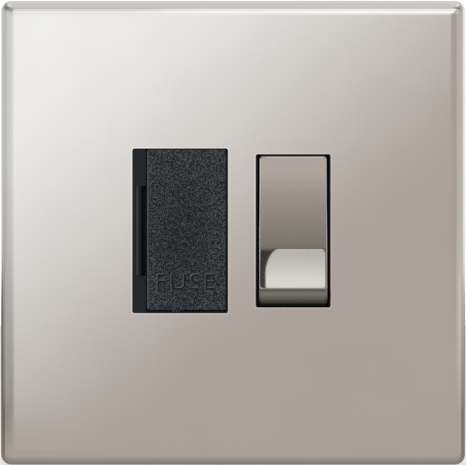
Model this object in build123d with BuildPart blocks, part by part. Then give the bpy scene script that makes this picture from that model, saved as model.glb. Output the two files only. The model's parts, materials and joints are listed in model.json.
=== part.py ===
"""One-gang switched fused spur unit with a clip-on metal front plate.

The front faces -Y, X runs to the right and Z up. The origin is the middle of the two fixing slots
on the wall face: the plate stands in front of it and the housing goes into the wall box behind it.
A distance called "out" runs from the wall face into the room, and is negative inside the box.
Lengths are in millimetres and angles in degrees. The rocker is modelled switched off.
"""

import os
from math import cos, hypot, radians, sin, sqrt, tan

from build123d import *

os.makedirs("parts", exist_ok=True)

# Front plate, a folded sheet
plate_width = 90.0
plate_height = 90.0
plate_depth = 4.5
plate_sheet = 1.0
plate_corner_radius = 2.0
plate_edge_radius = 1.9
pry_notch_width = 8.0
pry_notch_depth = 1.2

# Windows in the plate: the fuse at the left of the bridge, the rocker at its right
bridge_x = 1.7
window_bridge = 5.4
window_rise = 0.35
window_corner_radius = 0.4
window_edge_bevel = 0.2
fuse_window_width = 18.5
fuse_window_height = 31.9
rocker_window_width = 14.5
rocker_window_height = 29.7

# Moulded front frame
frame_gap = 0.3
plate_seat_gap = 0.05
frame_web = 1.6
frame_rim = 1.6
rib_thickness = 1.2
rib_recess = 0.4
rib_offset = 19.0
fixing_centres = 60.3
fixing_slot_width = 4.2
fixing_slot_length = 6.2
fixing_floor = 1.2
fixing_head_room = 1.9
fixing_boss_wall = 1.4
guide_wall = 1.2
guide_depth = 4.0
well_wall = 1.8
well_depth = 6.0
holder_width = 3.0

# Strip beside the fuse carrier, with the notch for a screwdriver
strip_width = 2.6
strip_fit = 0.1
strip_recess = 0.1
notch_length = 17.4
notch_width = 1.85
notch_bevel = 0.35
notch_mouth = 1.05
notch_depth = 4.5

# Leaf springs that grip the turned edge of the plate
leaf_thickness = 0.35
leaf_width = 1.6
leaf_chord = 11.0
leaf_pocket = 1.2
leaf_end_room = 0.3
leaf_out = 0.6
leaf_offset = 26.0
leaf_grip_gap = 0.05

# Rear housing
housing_depth = 22.0
housing_wall = 1.8
housing_floor = 1.8
housing_corner_radius = 2.0
housing_edge_radius = 0.8
chamber_height = 40.6
row_wall = 1.2
earth_room = 2.2
barrier_wall = 1.0
barrier_length = 22.0
partition_wall = 1.2
stop_width = 5.6
stop_length = 2.0
stop_depth = 1.4
seat_fit = 0.15

# Screws that join the housing to the frame
screw_core = 2.4
screw_clearance = 0.4
screw_head_diameter = 4.6
screw_head_height = 1.8
screw_head_radius = 0.6
screw_slot = 0.7
screw_slot_depth = 0.9
screw_pilot_fit = 0.02
screw_pilot_overrun = 0.9
screw_boss_wall = 1.2
screw_boss_depth = 6.0
screw_seat_wall = 5.0

# Rocker and its bearings
rocker_side_gap = 0.52
rocker_guard_gap = 0.2
rocker_end_gap = 0.25
rocker_throw = 10.0
rocker_pivot_depth = 2.5
rocker_reach = 8.9
rocker_dish = 10.0
rocker_dish_radius = 50.0
rocker_skin = 1.6
rocker_skirt = 0.5
rocker_draft = 1.2
rocker_edge_radius = 0.4
rocker_lug_radius = 3.0
trunnion_diameter = 3.0
bearing_gap = 0.05
pole_offset = 3.6

# Sprung plungers in the rocker
plunger_diameter = 2.8
plunger_reach = 8.85
plunger_length = 5.6
plunger_travel = 0.3
plunger_fit = 0.05
tube_wall = 1.0
tube_reach = 5.5
spring_wire = 0.5
spring_turns = 5.0
spring_length = 5.0
spring_gap = 0.1

# Contact levers, brackets and contacts
lever_bend = 12.0
lever_width = 3.2
lever_length = 9.0
lever_thickness = 0.8
lever_gap = 0.05
lever_pin = 1.6
ear_gap = 0.15
ear_thickness = 0.7
ear_height = 1.4
ear_length = 4.0
tip_diameter = 2.8
tip_height = 0.9
tip_edge_radius = 0.3
tip_reach = 7.8
rivet_diameter = 1.4
rivet_fit = 0.02
contact_gap = 0.1
stop_gap = 0.1

# Brass straps
strap_thickness = 0.8
strap_width = 4.0
link_turn = 15.5
finger_thickness = 0.5
finger_tip_length = 4.5
finger_height = 14.0

# Fuse, its clips and its carrier
fuse_length = 25.4
fuse_cap_diameter = 6.35
fuse_cap_length = 5.5
fuse_cap_end = 0.4
fuse_barrel_diameter = 5.95
fuse_cap_fit = 0.02
fuse_depth = 5.0
clip_thickness = 0.6
clip_width = 4.4
clip_gap = 0.03
clip_spread = 0.7
clip_lip = 1.6
carrier_gap = 0.25
carrier_top_gap = 0.2
carrier_foot_gap = 0.6
carrier_proud = 0.45
carrier_cover = 2.4
carrier_corner_radius = 0.5
carrier_edge_radius = 0.35
carrier_clearance = 2.3
carrier_ledge = 1.2
nub_width = 1.4
nub_height = 0.4
nub_offset = 2.1
cradle_wall = 1.5
cradle_length = 11.0
cradle_mouth = 5.2
cradle_lip = 1.4
leg_width = 7.0
leg_thickness = 1.4
leg_inset = 0.5
hook_catch = 0.7
hook_height = 1.5
hook_gap = 0.2

# Terminals and their screws
terminal_width = 8.0
terminal_length = 8.0
terminal_bore = 4.8
terminal_front_wall = 1.9
terminal_thread = 4.3
terminal_recess = 0.7
terminal_chamfer = 0.3
clamp_diameter = 3.9
clamp_fit = 0.05
clamp_head_diameter = 5.6
clamp_head_height = 1.5
clamp_head_gap = 0.2
clamp_head_room = 0.3
clamp_slot = 0.9
clamp_slot_depth = 0.75
clamp_back_off = 0.1

# Places that follow from the sizes above
frame_out = plate_depth - plate_sheet - plate_seat_gap
web_back = frame_out - frame_web
frame_width = plate_width - 2 * (plate_sheet + frame_gap)
frame_height = plate_height - 2 * (plate_sheet + frame_gap)
fuse_window_x = bridge_x - (window_bridge + fuse_window_width) / 2
fuse_window_left = fuse_window_x - fuse_window_width / 2
fuse_window_right = fuse_window_x + fuse_window_width / 2
rocker_x = bridge_x + (window_bridge + rocker_window_width) / 2
strip_out = plate_depth - strip_recess
strip_right = fuse_window_left + strip_width

carrier_width = fuse_window_width - strip_width - 2 * carrier_gap
carrier_height = fuse_window_height - carrier_top_gap - carrier_foot_gap
carrier_x = fuse_window_right - carrier_gap - carrier_width / 2
carrier_z = window_rise + (carrier_foot_gap - carrier_top_gap) / 2
carrier_out = plate_depth + carrier_proud
carrier_back = carrier_out - carrier_cover
carrier_travel = fuse_depth + fuse_cap_diameter / 2 + plate_depth + carrier_clearance

floor_out = housing_floor - housing_depth
terminal_depth = terminal_front_wall + terminal_bore + terminal_thread
bore_out = floor_out + terminal_thread + terminal_bore / 2
row_inner = chamber_height / 2 + row_wall
row_z = row_inner + strap_thickness + terminal_length / 2
housing_height = 2 * (row_z + terminal_length / 2 + terminal_recess)
neutral_x = rocker_x + pole_offset
terminal_pitch = neutral_x
well_outer = rocker_window_width / 2 + well_wall
reach_left = earth_room - fuse_window_left
reach_right = max(rocker_x + well_outer, neutral_x + terminal_width / 2) + 2 * seat_fit
housing_width = 2 * (max(reach_left, reach_right) + housing_wall)
terminal_spots = {
    "supply_earth": (-terminal_pitch, row_z),
    "supply_live": (0, row_z),
    "supply_neutral": (terminal_pitch, row_z),
    "load_earth": (-terminal_pitch, -row_z),
    "load_live": (0, -row_z),
    "load_neutral": (terminal_pitch, -row_z),
}
pole_x = {"live": rocker_x - pole_offset, "neutral": neutral_x}

rocker_width = rocker_window_width - 2 * rocker_side_gap
rocker_radius = hypot(rocker_window_height / 2 - rocker_end_gap, plate_depth - plate_sheet + rocker_pivot_depth)
rocker_half = sqrt(rocker_radius**2 - rocker_reach**2)
rocker_valley = rocker_reach - rocker_half * tan(radians(rocker_dish))
well_half_height = rocker_radius + rocker_end_gap
tube_radius = plunger_diameter / 2 + plunger_fit + tube_wall
plunger_back = plunger_length - plunger_reach
spring_back = plunger_back + plunger_travel + spring_gap
spring_front = spring_back + spring_length

dome_rest = plunger_diameter / 2 + lever_gap + lever_thickness / 2
lever_depth = rocker_pivot_depth + plunger_reach - plunger_diameter / 2 + dome_rest / cos(radians(lever_bend))
closed_lean = radians(lever_bend - rocker_throw)
tip_face = tip_reach * sin(closed_lean) - (lever_thickness / 2 + tip_height) * cos(closed_lean)
fixed_tip_out = tip_face - lever_depth - contact_gap
fixed_tip_z = window_rise + tip_reach * cos(closed_lean)
tongue_out = fixed_tip_out - tip_height
stop_out = -lever_depth - lever_thickness / 2 - stop_gap
stop_z = window_rise - lever_length + stop_length / 2

strap_out = floor_out + strap_thickness
clip_offset = (fuse_length - fuse_cap_length) / 2
clip_z = {"upper": window_rise + clip_offset, "lower": window_rise - clip_offset}
earth_x = fuse_window_left + strap_width / 2
finger_x = housing_wall - housing_width / 2 + seat_fit
guide_right = carrier_x + carrier_width / 2 + carrier_gap + guide_wall
partition_x = (guide_right + rocker_x - well_outer) / 2
partition_top = clip_z["upper"] - strap_width
partition_bottom = strap_width - link_turn
screw_seat_out = -screw_boss_depth - screw_seat_wall


def facing(out):
    """A plane parallel to the wall, this far out of it, with X across and Z up."""
    return Plane.XZ.offset(out)


def level(height):
    """A horizontal plane at this height, with X across and the outward direction up the sketch."""
    return Plane(origin=(0, 0, height), x_dir=(1, 0, 0), z_dir=(0, 0, -1))


def outward(lean):
    """The outward direction, leaning so that the lower end of a piece stands out."""
    return (0, -cos(radians(lean)), sin(radians(lean)))


def upright(across, depth, lean):
    """A plane across X at this depth, with the leaning outward direction along x and up along y."""
    return Plane(origin=(across, depth, window_rise), x_dir=outward(lean), z_dir=(-1, 0, 0))


def leaning(across, depth, lean):
    """A plane that faces along the leaning outward direction, with X across."""
    return Plane(origin=(across, depth, window_rise), x_dir=(1, 0, 0), z_dir=outward(lean))


# Front plate
with BuildPart() as front_plate:
    with BuildSketch(facing(0)):
        RectangleRounded(plate_width, plate_height, plate_corner_radius)
    extrude(amount=plate_depth)
    fillet(front_plate.faces().sort_by(Axis.Y)[0].edges(), plate_edge_radius)
    offset(amount=-plate_sheet, openings=front_plate.faces().sort_by(Axis.Y)[-1])
    with BuildSketch(facing(plate_depth)):
        with Locations((fuse_window_x, window_rise)):
            RectangleRounded(fuse_window_width, fuse_window_height, window_corner_radius)
        with Locations((rocker_x, window_rise)):
            RectangleRounded(rocker_window_width, rocker_window_height, window_corner_radius)
    extrude(amount=-plate_sheet, mode=Mode.SUBTRACT)
    window_edges = front_plate.faces().sort_by(Axis.Y)[0].inner_wires().edges()
    chamfer(window_edges, window_edge_bevel)
    with BuildSketch(facing(0)):
        with Locations((0, (plate_sheet - plate_height) / 2)):
            Rectangle(pry_notch_width, plate_sheet)
    extrude(amount=pry_notch_depth, mode=Mode.SUBTRACT)
front_plate.part.label = "front_plate"
export_step(front_plate.part, "parts/front_plate.step")

# Leaf springs along the left and right edges of the frame
leaf_rise = leaf_pocket + frame_gap - leaf_grip_gap - leaf_thickness
leaf_foot = frame_width / 2 - leaf_pocket + leaf_thickness / 2
with BuildPart() as plate_springs:
    with BuildSketch(facing(leaf_out)):
        with BuildLine():
            for side in (-1, 1):
                for end in (-1, 1):
                    ThreePointArc(
                        (side * leaf_foot, end * leaf_offset - leaf_chord / 2),
                        (side * (leaf_foot + leaf_rise), end * leaf_offset),
                        (side * leaf_foot, end * leaf_offset + leaf_chord / 2),
                    )
        trace(line_width=leaf_thickness)
    extrude(amount=leaf_width)
plate_springs.part.label = "plate_springs"
export_step(plate_springs.part, "parts/plate_springs.step")

# Front frame: a ribbed tray behind the plate
with BuildPart() as front_frame:
    with BuildSketch(facing(0)):
        RectangleRounded(frame_width, frame_height, plate_corner_radius - plate_sheet - frame_gap)
    extrude(amount=frame_out)
    fillet(front_frame.faces().sort_by(Axis.Y)[0].edges(), plate_edge_radius - plate_sheet - frame_gap)
    with BuildSketch(facing(0)):
        Rectangle(frame_width - 2 * frame_rim, frame_height - 2 * frame_rim)
    extrude(amount=web_back, mode=Mode.SUBTRACT)
    with BuildSketch(facing(rib_recess)):
        with GridLocations(0, 2 * rib_offset, 1, 2):
            Rectangle(frame_width - frame_rim, rib_thickness)
        with GridLocations(2 * rib_offset, 0, 2, 1):
            Rectangle(rib_thickness, frame_height - frame_rim)
    extrude(amount=web_back - rib_recess)
    with BuildSketch(facing(0)):
        with GridLocations(fixing_centres, 0, 2, 1):
            SlotOverall(
                fixing_slot_length + 2 * (fixing_head_room + fixing_boss_wall),
                fixing_slot_width + 2 * (fixing_head_room + fixing_boss_wall),
            )
    extrude(amount=web_back)
    # The housing stands on the back of the web
    with BuildSketch(facing(0)):
        Rectangle(housing_width + 2 * seat_fit, housing_height + 2 * seat_fit)
    extrude(amount=web_back, mode=Mode.SUBTRACT)
    # Side walls of the rocker well
    with BuildSketch(facing(-well_depth)):
        with Locations((rocker_x, window_rise)):
            with GridLocations(rocker_window_width + well_wall, 0, 2, 1):
                Rectangle(well_wall, 2 * well_half_height)
    extrude(amount=well_depth + web_back)
    # Guides at both sides of the fuse carrier
    with BuildSketch(facing(-guide_depth)):
        with Locations((carrier_x, carrier_z)):
            with GridLocations(carrier_width + 2 * carrier_gap + guide_wall, 0, 2, 1):
                Rectangle(guide_wall, carrier_height)
    extrude(amount=guide_depth + web_back)
    # Bosses for the housing screws
    with BuildSketch(facing(-screw_boss_depth)):
        with GridLocations(terminal_pitch, 2 * row_z, 2, 2):
            Circle(screw_core / 2 + screw_boss_wall)
    extrude(amount=screw_boss_depth + web_back)
    # Ribs that hold the terminals down, each with a panel that closes the end wall of its pocket
    with BuildSketch(facing(floor_out + terminal_depth + seat_fit)):
        with Locations(*terminal_spots.values()):
            Rectangle(holder_width, terminal_length)
        with GridLocations(terminal_pitch, housing_height - housing_wall, 3, 2):
            Rectangle(terminal_width, housing_wall)
    extrude(amount=web_back - floor_out - terminal_depth - seat_fit)
    # Strip that fills the left of the fuse window
    with BuildSketch(facing(web_back)):
        with Locations((fuse_window_left + (strip_width + strip_fit) / 2, window_rise)):
            Rectangle(strip_width - strip_fit, fuse_window_height - 2 * strip_fit)
    extrude(amount=strip_out - web_back)
    with BuildSketch(level(window_rise)):
        with BuildLine():
            Polyline(
                (strip_right - notch_width, strip_out),
                (strip_right - notch_width + notch_bevel, strip_out - notch_bevel),
                (strip_right - notch_mouth, strip_out - notch_depth),
                (strip_right, strip_out - notch_depth),
                (strip_right, strip_out),
                close=True,
            )
        make_face()
    extrude(amount=notch_length / 2, both=True, mode=Mode.SUBTRACT)
    # Well of the carrier, with a ledge under the edge of its cover
    with BuildSketch(facing(carrier_back - seat_fit)):
        with Locations((carrier_x, carrier_z)):
            Rectangle(carrier_width + 2 * carrier_gap, carrier_height + 2 * carrier_gap)
    extrude(amount=strip_out - carrier_back + seat_fit, mode=Mode.SUBTRACT)
    # Openings for the fuse, the carrier's legs, a screwdriver under its cover, and the rocker
    with BuildSketch(facing(web_back)):
        with Locations((carrier_x, carrier_z)):
            Rectangle(carrier_width - 2 * carrier_ledge, carrier_height - 2 * carrier_ledge)
            Rectangle(leg_width + 2 * carrier_gap, carrier_height + 2 * carrier_gap)
        with Locations((strip_right + (carrier_gap + carrier_ledge) / 2, window_rise)):
            Rectangle(carrier_gap + carrier_ledge, notch_length)
        with Locations((rocker_x, window_rise)):
            Rectangle(rocker_width + 2 * rocker_guard_gap, 2 * well_half_height)
    extrude(amount=strip_out - web_back, mode=Mode.SUBTRACT)
    # Bearings for the rocker, open at the back
    with BuildSketch(upright(rocker_x, rocker_pivot_depth, 0)):
        Circle(trunnion_diameter / 2 + bearing_gap)
        with Locations((rocker_pivot_depth - well_depth, 0)):
            Rectangle(2 * (well_depth - rocker_pivot_depth), trunnion_diameter + 2 * bearing_gap)
    extrude(amount=well_outer, both=True, mode=Mode.SUBTRACT)
    # Fixing slots, with room for the screw heads in front
    with BuildSketch(facing(fixing_floor)):
        with GridLocations(fixing_centres, 0, 2, 1):
            SlotOverall(fixing_slot_length + 2 * fixing_head_room, fixing_slot_width + 2 * fixing_head_room)
    extrude(amount=frame_out - fixing_floor, mode=Mode.SUBTRACT)
    with BuildSketch(facing(0)):
        with GridLocations(fixing_centres, 0, 2, 1):
            SlotOverall(fixing_slot_length, fixing_slot_width)
    extrude(amount=fixing_floor, mode=Mode.SUBTRACT)
    # Pilot holes in the bosses
    with BuildSketch(facing(-screw_boss_depth)):
        with GridLocations(terminal_pitch, 2 * row_z, 2, 2):
            Circle(screw_core / 2 + screw_pilot_fit)
    extrude(amount=screw_boss_depth + screw_pilot_overrun, mode=Mode.SUBTRACT)
    # Pockets for the leaf springs
    with BuildSketch(facing(leaf_out - seat_fit)):
        with GridLocations(frame_width - leaf_pocket, 2 * leaf_offset, 2, 2):
            Rectangle(leaf_pocket, leaf_chord + 2 * leaf_end_room)
    extrude(amount=leaf_width + 2 * seat_fit, mode=Mode.SUBTRACT)
    # Slot and recess for the earth finger
    with BuildSketch(facing(frame_out)):
        with Locations((finger_x + (finger_thickness - finger_tip_length) / 2, finger_height)):
            Rectangle(finger_tip_length + finger_thickness + 2 * seat_fit, strap_width + 2 * seat_fit)
    extrude(amount=-finger_thickness - seat_fit, mode=Mode.SUBTRACT)
    with BuildSketch(facing(frame_out)):
        with Locations((finger_x + finger_thickness / 2, finger_height)):
            Rectangle(finger_thickness + 2 * seat_fit, strap_width + 2 * seat_fit)
    extrude(amount=-frame_web, mode=Mode.SUBTRACT)
front_frame.part.label = "front_frame"
export_step(front_frame.part, "parts/front_frame.step")

# Rear housing
with BuildPart() as rear_housing:
    with BuildSketch(facing(-housing_depth)):
        RectangleRounded(housing_width, housing_height, housing_corner_radius)
    extrude(amount=housing_depth + web_back)
    fillet(rear_housing.faces().sort_by(Axis.Y)[-1].edges(), housing_edge_radius)
    with BuildSketch(facing(floor_out)):
        Rectangle(housing_width - 2 * housing_wall, chamber_height)
        with GridLocations(terminal_pitch, row_inner + housing_height / 2, 3, 2):
            Rectangle(terminal_width + 2 * seat_fit, housing_height / 2 - row_inner)
    extrude(amount=web_back - floor_out, mode=Mode.SUBTRACT)
    # Slots in the row walls, through which the straps are laid in from the front
    with BuildSketch(facing(floor_out)):
        with Locations(*[(x, side * row_inner) for x in (earth_x, 0, neutral_x) for side in (-1, 1)]):
            Rectangle(strap_width + 2 * seat_fit, 2 * row_wall)
    extrude(amount=web_back - floor_out, mode=Mode.SUBTRACT)
    # Holes for the clamping screws of the terminals
    with BuildSketch(facing(floor_out)):
        with Locations(*terminal_spots.values()):
            Circle(clamp_head_diameter / 2 + clamp_head_room)
    extrude(amount=-housing_floor, mode=Mode.SUBTRACT)
    # Columns for the housing screws
    with BuildSketch(facing(-screw_boss_depth - seat_fit)):
        with GridLocations(terminal_pitch, 2 * row_z, 2, 2):
            Circle(screw_core / 2 + screw_boss_wall + seat_fit)
    extrude(amount=screw_boss_depth + seat_fit + web_back, mode=Mode.SUBTRACT)
    with BuildSketch(facing(screw_seat_out)):
        with GridLocations(terminal_pitch, 2 * row_z, 2, 2):
            Circle((screw_core + screw_clearance) / 2)
    extrude(amount=screw_seat_wall, mode=Mode.SUBTRACT)
    with BuildSketch(facing(screw_seat_out)):
        with GridLocations(terminal_pitch, 2 * row_z, 2, 2):
            Circle((screw_head_diameter + screw_clearance) / 2)
    extrude(amount=-housing_depth - screw_seat_out, mode=Mode.SUBTRACT)
    # Posts that close the rocker's bearings from behind
    with BuildSketch(facing(floor_out)):
        with Locations((rocker_x, window_rise)):
            with GridLocations(rocker_window_width + well_wall, 0, 2, 1):
                Rectangle(well_wall, trunnion_diameter + 2 * bearing_gap - 2 * seat_fit)
    extrude(amount=-floor_out - rocker_pivot_depth - trunnion_diameter / 2 - bearing_gap)
    # Barrier between the poles, with a rest for the open levers
    with BuildSketch(facing(floor_out)):
        with Locations((rocker_x, window_rise)):
            Rectangle(barrier_wall, barrier_length)
    extrude(amount=-floor_out - lever_depth + lever_thickness)
    with BuildSketch(facing(stop_out)):
        with Locations((rocker_x, stop_z)):
            Rectangle(stop_width, stop_length)
    extrude(amount=-stop_depth)
    # Partition between the fuse and the switch
    with BuildSketch(facing(floor_out)):
        with Locations((partition_x, (partition_top + partition_bottom) / 2)):
            Rectangle(partition_wall, partition_top - partition_bottom)
    extrude(amount=-floor_out)
rear_housing.part.label = "rear_housing"
export_step(rear_housing.part, "parts/rear_housing.step")

# Housing screws, driven in from the back
with BuildPart() as housing_screws:
    with BuildSketch(facing(screw_seat_out)):
        with GridLocations(terminal_pitch, 2 * row_z, 2, 2):
            Circle(screw_head_diameter / 2)
    extrude(amount=-screw_head_height)
    fillet(housing_screws.faces().filter_by(Axis.Y).group_by(Axis.Y)[-1].edges(), screw_head_radius)
    with BuildSketch(facing(screw_seat_out)):
        with GridLocations(terminal_pitch, 2 * row_z, 2, 2):
            Circle(screw_core / 2)
    extrude(amount=screw_seat_wall + screw_boss_depth)
    with BuildSketch(facing(screw_seat_out - screw_head_height)):
        with GridLocations(terminal_pitch, 2 * row_z, 2, 2):
            Rectangle(screw_head_diameter, screw_slot)
    extrude(amount=screw_slot_depth, mode=Mode.SUBTRACT)
housing_screws.part.label = "housing_screws"
export_step(housing_screws.part, "parts/housing_screws.step")

# Rocker: a dished shell with two spring tubes and a trunnion at each side
rocker_plane = upright(rocker_x, rocker_pivot_depth, rocker_throw)
tube_plane = leaning(rocker_x, rocker_pivot_depth, rocker_throw)
arc_mid = (rocker_reach - rocker_skirt) / 2


def on_rocker_rim(edge):
    """Whether an edge runs round the dished face, at one of its sides or ends."""
    place = rocker_plane.to_local_coords(edge.center())
    at_front = place.X > rocker_valley - rocker_edge_radius
    at_side = abs(place.Z) > rocker_width / 2 - rocker_skin / 2
    at_end = abs(place.Y) > rocker_half - rocker_edge_radius
    return at_front and (at_side or at_end)


with BuildPart() as rocker:
    with BuildSketch(rocker_plane):
        with BuildLine():
            face = FilletPolyline(
                (rocker_reach, rocker_half),
                (rocker_valley, 0),
                (rocker_reach, -rocker_half),
                radius=rocker_dish_radius,
            )
            lower = ThreePointArc(
                face @ 1,
                (arc_mid, -sqrt(rocker_radius**2 - arc_mid**2)),
                (-rocker_skirt, -sqrt(rocker_radius**2 - rocker_skirt**2)),
            )
            upper = ThreePointArc(
                face @ 0,
                (arc_mid, sqrt(rocker_radius**2 - arc_mid**2)),
                (-rocker_skirt, sqrt(rocker_radius**2 - rocker_skirt**2)),
            )
            Line(lower @ 1, upper @ 1)
        make_face()
    extrude(amount=rocker_width / 2, both=True)
    side_faces = rocker.faces().filter_by(Axis.X)
    draft(side_faces, neutral_plane=tube_plane, angle=rocker_draft)
    back_face = rocker.faces().sort_by(Axis.Y)[-1]
    offset(amount=-rocker_skin, openings=back_face)
    with BuildSketch(tube_plane.offset(-tube_reach)):
        with GridLocations(2 * pole_offset, 0, 2, 1):
            Circle(tube_radius)
    extrude(amount=tube_reach + rocker_valley)
    for side in (-1, 1):
        with BuildSketch(rocker_plane.offset(side * (rocker_width / 2 - rocker_skin))):
            Circle(rocker_lug_radius)
        extrude(amount=side * rocker_skin)
        with BuildSketch(rocker_plane.offset(side * (rocker_width / 2 - rocker_skin))):
            Circle(trunnion_diameter / 2)
        extrude(amount=side * (well_outer - bearing_gap - rocker_width / 2 + rocker_skin))
    with BuildSketch(tube_plane.offset(-tube_reach)):
        with GridLocations(2 * pole_offset, 0, 2, 1):
            Circle(plunger_diameter / 2 + plunger_fit)
    extrude(amount=tube_reach + spring_front, mode=Mode.SUBTRACT)
    fillet(rocker.edges().filter_by(on_rocker_rim), rocker_edge_radius)
rocker.part.label = "rocker"
export_step(rocker.part, "parts/rocker.step")

# The parts of each pole of the switch
for pole, across in pole_x.items():
    pole_plane = leaning(across, rocker_pivot_depth, rocker_throw)

    with BuildPart() as plunger:
        with BuildSketch(upright(across, rocker_pivot_depth, rocker_throw)):
            with BuildLine():
                Line((plunger_back, 0), (-plunger_reach, 0))
                RadiusArc(
                    (-plunger_reach, 0),
                    (plunger_diameter / 2 - plunger_reach, plunger_diameter / 2),
                    plunger_diameter / 2,
                )
                Line(
                    (plunger_diameter / 2 - plunger_reach, plunger_diameter / 2),
                    (plunger_back, plunger_diameter / 2),
                )
                Line((plunger_back, plunger_diameter / 2), (plunger_back, 0))
            make_face()
        revolve(axis=Axis(pole_plane.origin, pole_plane.z_dir))
    plunger.part.label = f"plunger_{pole}"
    export_step(plunger.part, f"parts/plunger_{pole}.step")

    with BuildPart() as spring:
        spring_radius = (plunger_diameter - spring_wire) / 2 - plunger_fit
        with BuildLine() as coil:
            Helix(
                pitch=(spring_length - spring_wire) / spring_turns,
                height=spring_length - spring_wire,
                radius=spring_radius,
                center=pole_plane.from_local_coords((0, 0, spring_back + spring_wire / 2)),
                direction=pole_plane.z_dir,
            )
        with BuildSketch(Plane(origin=coil.line @ 0, z_dir=coil.line % 0)):
            Circle(spring_wire / 2)
        sweep(is_frenet=True)
    spring.part.label = f"plunger_spring_{pole}"
    export_step(spring.part, f"parts/plunger_spring_{pole}.step")

    with BuildPart() as lever:
        arm = (lever_length * sin(radians(lever_bend)), lever_length * cos(radians(lever_bend)))
        with BuildSketch(upright(across, lever_depth, -rocker_throw)):
            with BuildLine():
                Polyline((arm[0], arm[1]), (0, 0), (arm[0], -arm[1]))
            trace(line_width=lever_thickness)
        extrude(amount=lever_width / 2, both=True)
        for side in (-1, 1):
            with BuildSketch(upright(across, lever_depth, -rocker_throw).offset(side * lever_width / 2)):
                Circle(lever_pin / 2)
            extrude(amount=side * (ear_gap + ear_thickness))
        open_lean = -rocker_throw - lever_bend
        tip_plane = leaning(across, lever_depth, open_lean)
        with BuildSketch(tip_plane):
            with Locations((0, tip_reach)):
                Circle(rivet_diameter / 2 + rivet_fit)
        extrude(amount=lever_thickness, both=True, mode=Mode.SUBTRACT)
    lever.part.label = f"contact_lever_{pole}"
    export_step(lever.part, f"parts/contact_lever_{pole}.step")

    with BuildPart() as moving_tip:
        with BuildSketch(tip_plane.offset(-lever_thickness / 2 - tip_height)):
            with Locations((0, tip_reach)):
                Circle(tip_diameter / 2)
        extrude(amount=tip_height)
        fillet(moving_tip.edges().sort_by(Axis.Y)[-1], tip_edge_radius)
        with BuildSketch(tip_plane.offset(-lever_thickness / 2)):
            with Locations((0, tip_reach)):
                Circle(rivet_diameter / 2)
        extrude(amount=lever_thickness)
    moving_tip.part.label = f"moving_tip_{pole}"
    export_step(moving_tip.part, f"parts/moving_tip_{pole}.step")

    with BuildPart() as fixed_tip:
        with BuildSketch(facing(tongue_out)):
            with Locations((across, fixed_tip_z)):
                Circle(tip_diameter / 2)
        extrude(amount=tip_height)
        fillet(fixed_tip.edges().sort_by(Axis.Y)[0], tip_edge_radius)
        with BuildSketch(facing(tongue_out)):
            with Locations((across, fixed_tip_z)):
                Circle(rivet_diameter / 2)
        extrude(amount=-strap_thickness)
    fixed_tip.part.label = f"fixed_tip_{pole}"
    export_step(fixed_tip.part, f"parts/fixed_tip_{pole}.step")

    # Fixed contact: a tongue under the tip, and an upstand against the supply terminal
    terminal_x = terminal_spots[f"supply_{pole}"][0]
    tongue_end = fixed_tip_z - strap_width / 2
    tongue_turn = (fixed_tip_z + row_inner) / 2
    with BuildPart() as fixed_contact:
        with BuildSketch(facing(tongue_out)):
            with BuildLine():
                if terminal_x == across:
                    Line((across, tongue_end), (across, row_inner + strap_thickness))
                else:
                    Polyline(
                        (across, tongue_end),
                        (across, tongue_turn),
                        (terminal_x, tongue_turn),
                        (terminal_x, row_inner + strap_thickness),
                    )
            trace(line_width=strap_width)
        extrude(amount=-strap_thickness)
        with BuildSketch(facing(tongue_out - strap_thickness)):
            with Locations((terminal_x, row_inner + strap_thickness / 2)):
                Rectangle(strap_width, strap_thickness)
        extrude(amount=strap_width)
        with BuildSketch(facing(tongue_out)):
            with Locations((across, fixed_tip_z)):
                Circle(rivet_diameter / 2 + rivet_fit)
        extrude(amount=-strap_thickness, mode=Mode.SUBTRACT)
    fixed_contact.part.label = f"fixed_contact_{pole}"
    export_step(fixed_contact.part, f"parts/fixed_contact_{pole}.step")

    # Pivot bracket: ears for the lever on a strap along the floor
    with BuildPart() as bracket:
        with BuildSketch(facing(floor_out)):
            with BuildLine():
                if pole == "live":
                    Polyline(
                        (across, window_rise - ear_length / 2),
                        (across, clip_z["upper"]),
                        (carrier_x - strap_width / 2, clip_z["upper"]),
                    )
                else:
                    Line((across, window_rise + ear_length / 2), (across, -row_inner - strap_thickness))
            trace(line_width=strap_width)
            with Locations((across, window_rise)):
                Rectangle(lever_width + 2 * (ear_gap + ear_thickness), ear_length)
        extrude(amount=strap_thickness)
        with BuildSketch(facing(floor_out)):
            with Locations((across, window_rise)):
                with GridLocations(lever_width + 2 * ear_gap + ear_thickness, 0, 2, 1):
                    Rectangle(ear_thickness, ear_length)
        extrude(amount=-floor_out - lever_depth + ear_height)
        with BuildSketch(upright(across, lever_depth, 0)):
            Circle(lever_pin / 2 + bearing_gap)
            with Locations((ear_height, 0)):
                Rectangle(2 * ear_height, lever_pin + 2 * bearing_gap)
        extrude(amount=lever_width, both=True, mode=Mode.SUBTRACT)
        if pole == "neutral":
            with BuildSketch(facing(floor_out)):
                with Locations((across, -row_inner - strap_thickness / 2)):
                    Rectangle(strap_width, strap_thickness)
            extrude(amount=terminal_thread + terminal_bore)
    bracket.part.label = f"pivot_bracket_{pole}"
    export_step(bracket.part, f"parts/pivot_bracket_{pole}.step")

# Live link from the lower fuse clip to the load terminal
with BuildPart() as live_link:
    with BuildSketch(facing(floor_out)):
        with BuildLine():
            Polyline(
                (carrier_x, clip_z["lower"] + strap_width / 2),
                (carrier_x, -link_turn),
                (0, -link_turn),
                (0, -row_inner - strap_thickness),
            )
        trace(line_width=strap_width)
    extrude(amount=strap_thickness)
    with BuildSketch(facing(floor_out)):
        with Locations((0, -row_inner - strap_thickness / 2)):
            Rectangle(strap_width, strap_thickness)
    extrude(amount=terminal_thread + terminal_bore)
live_link.part.label = "live_link"
export_step(live_link.part, "parts/live_link.step")

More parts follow.
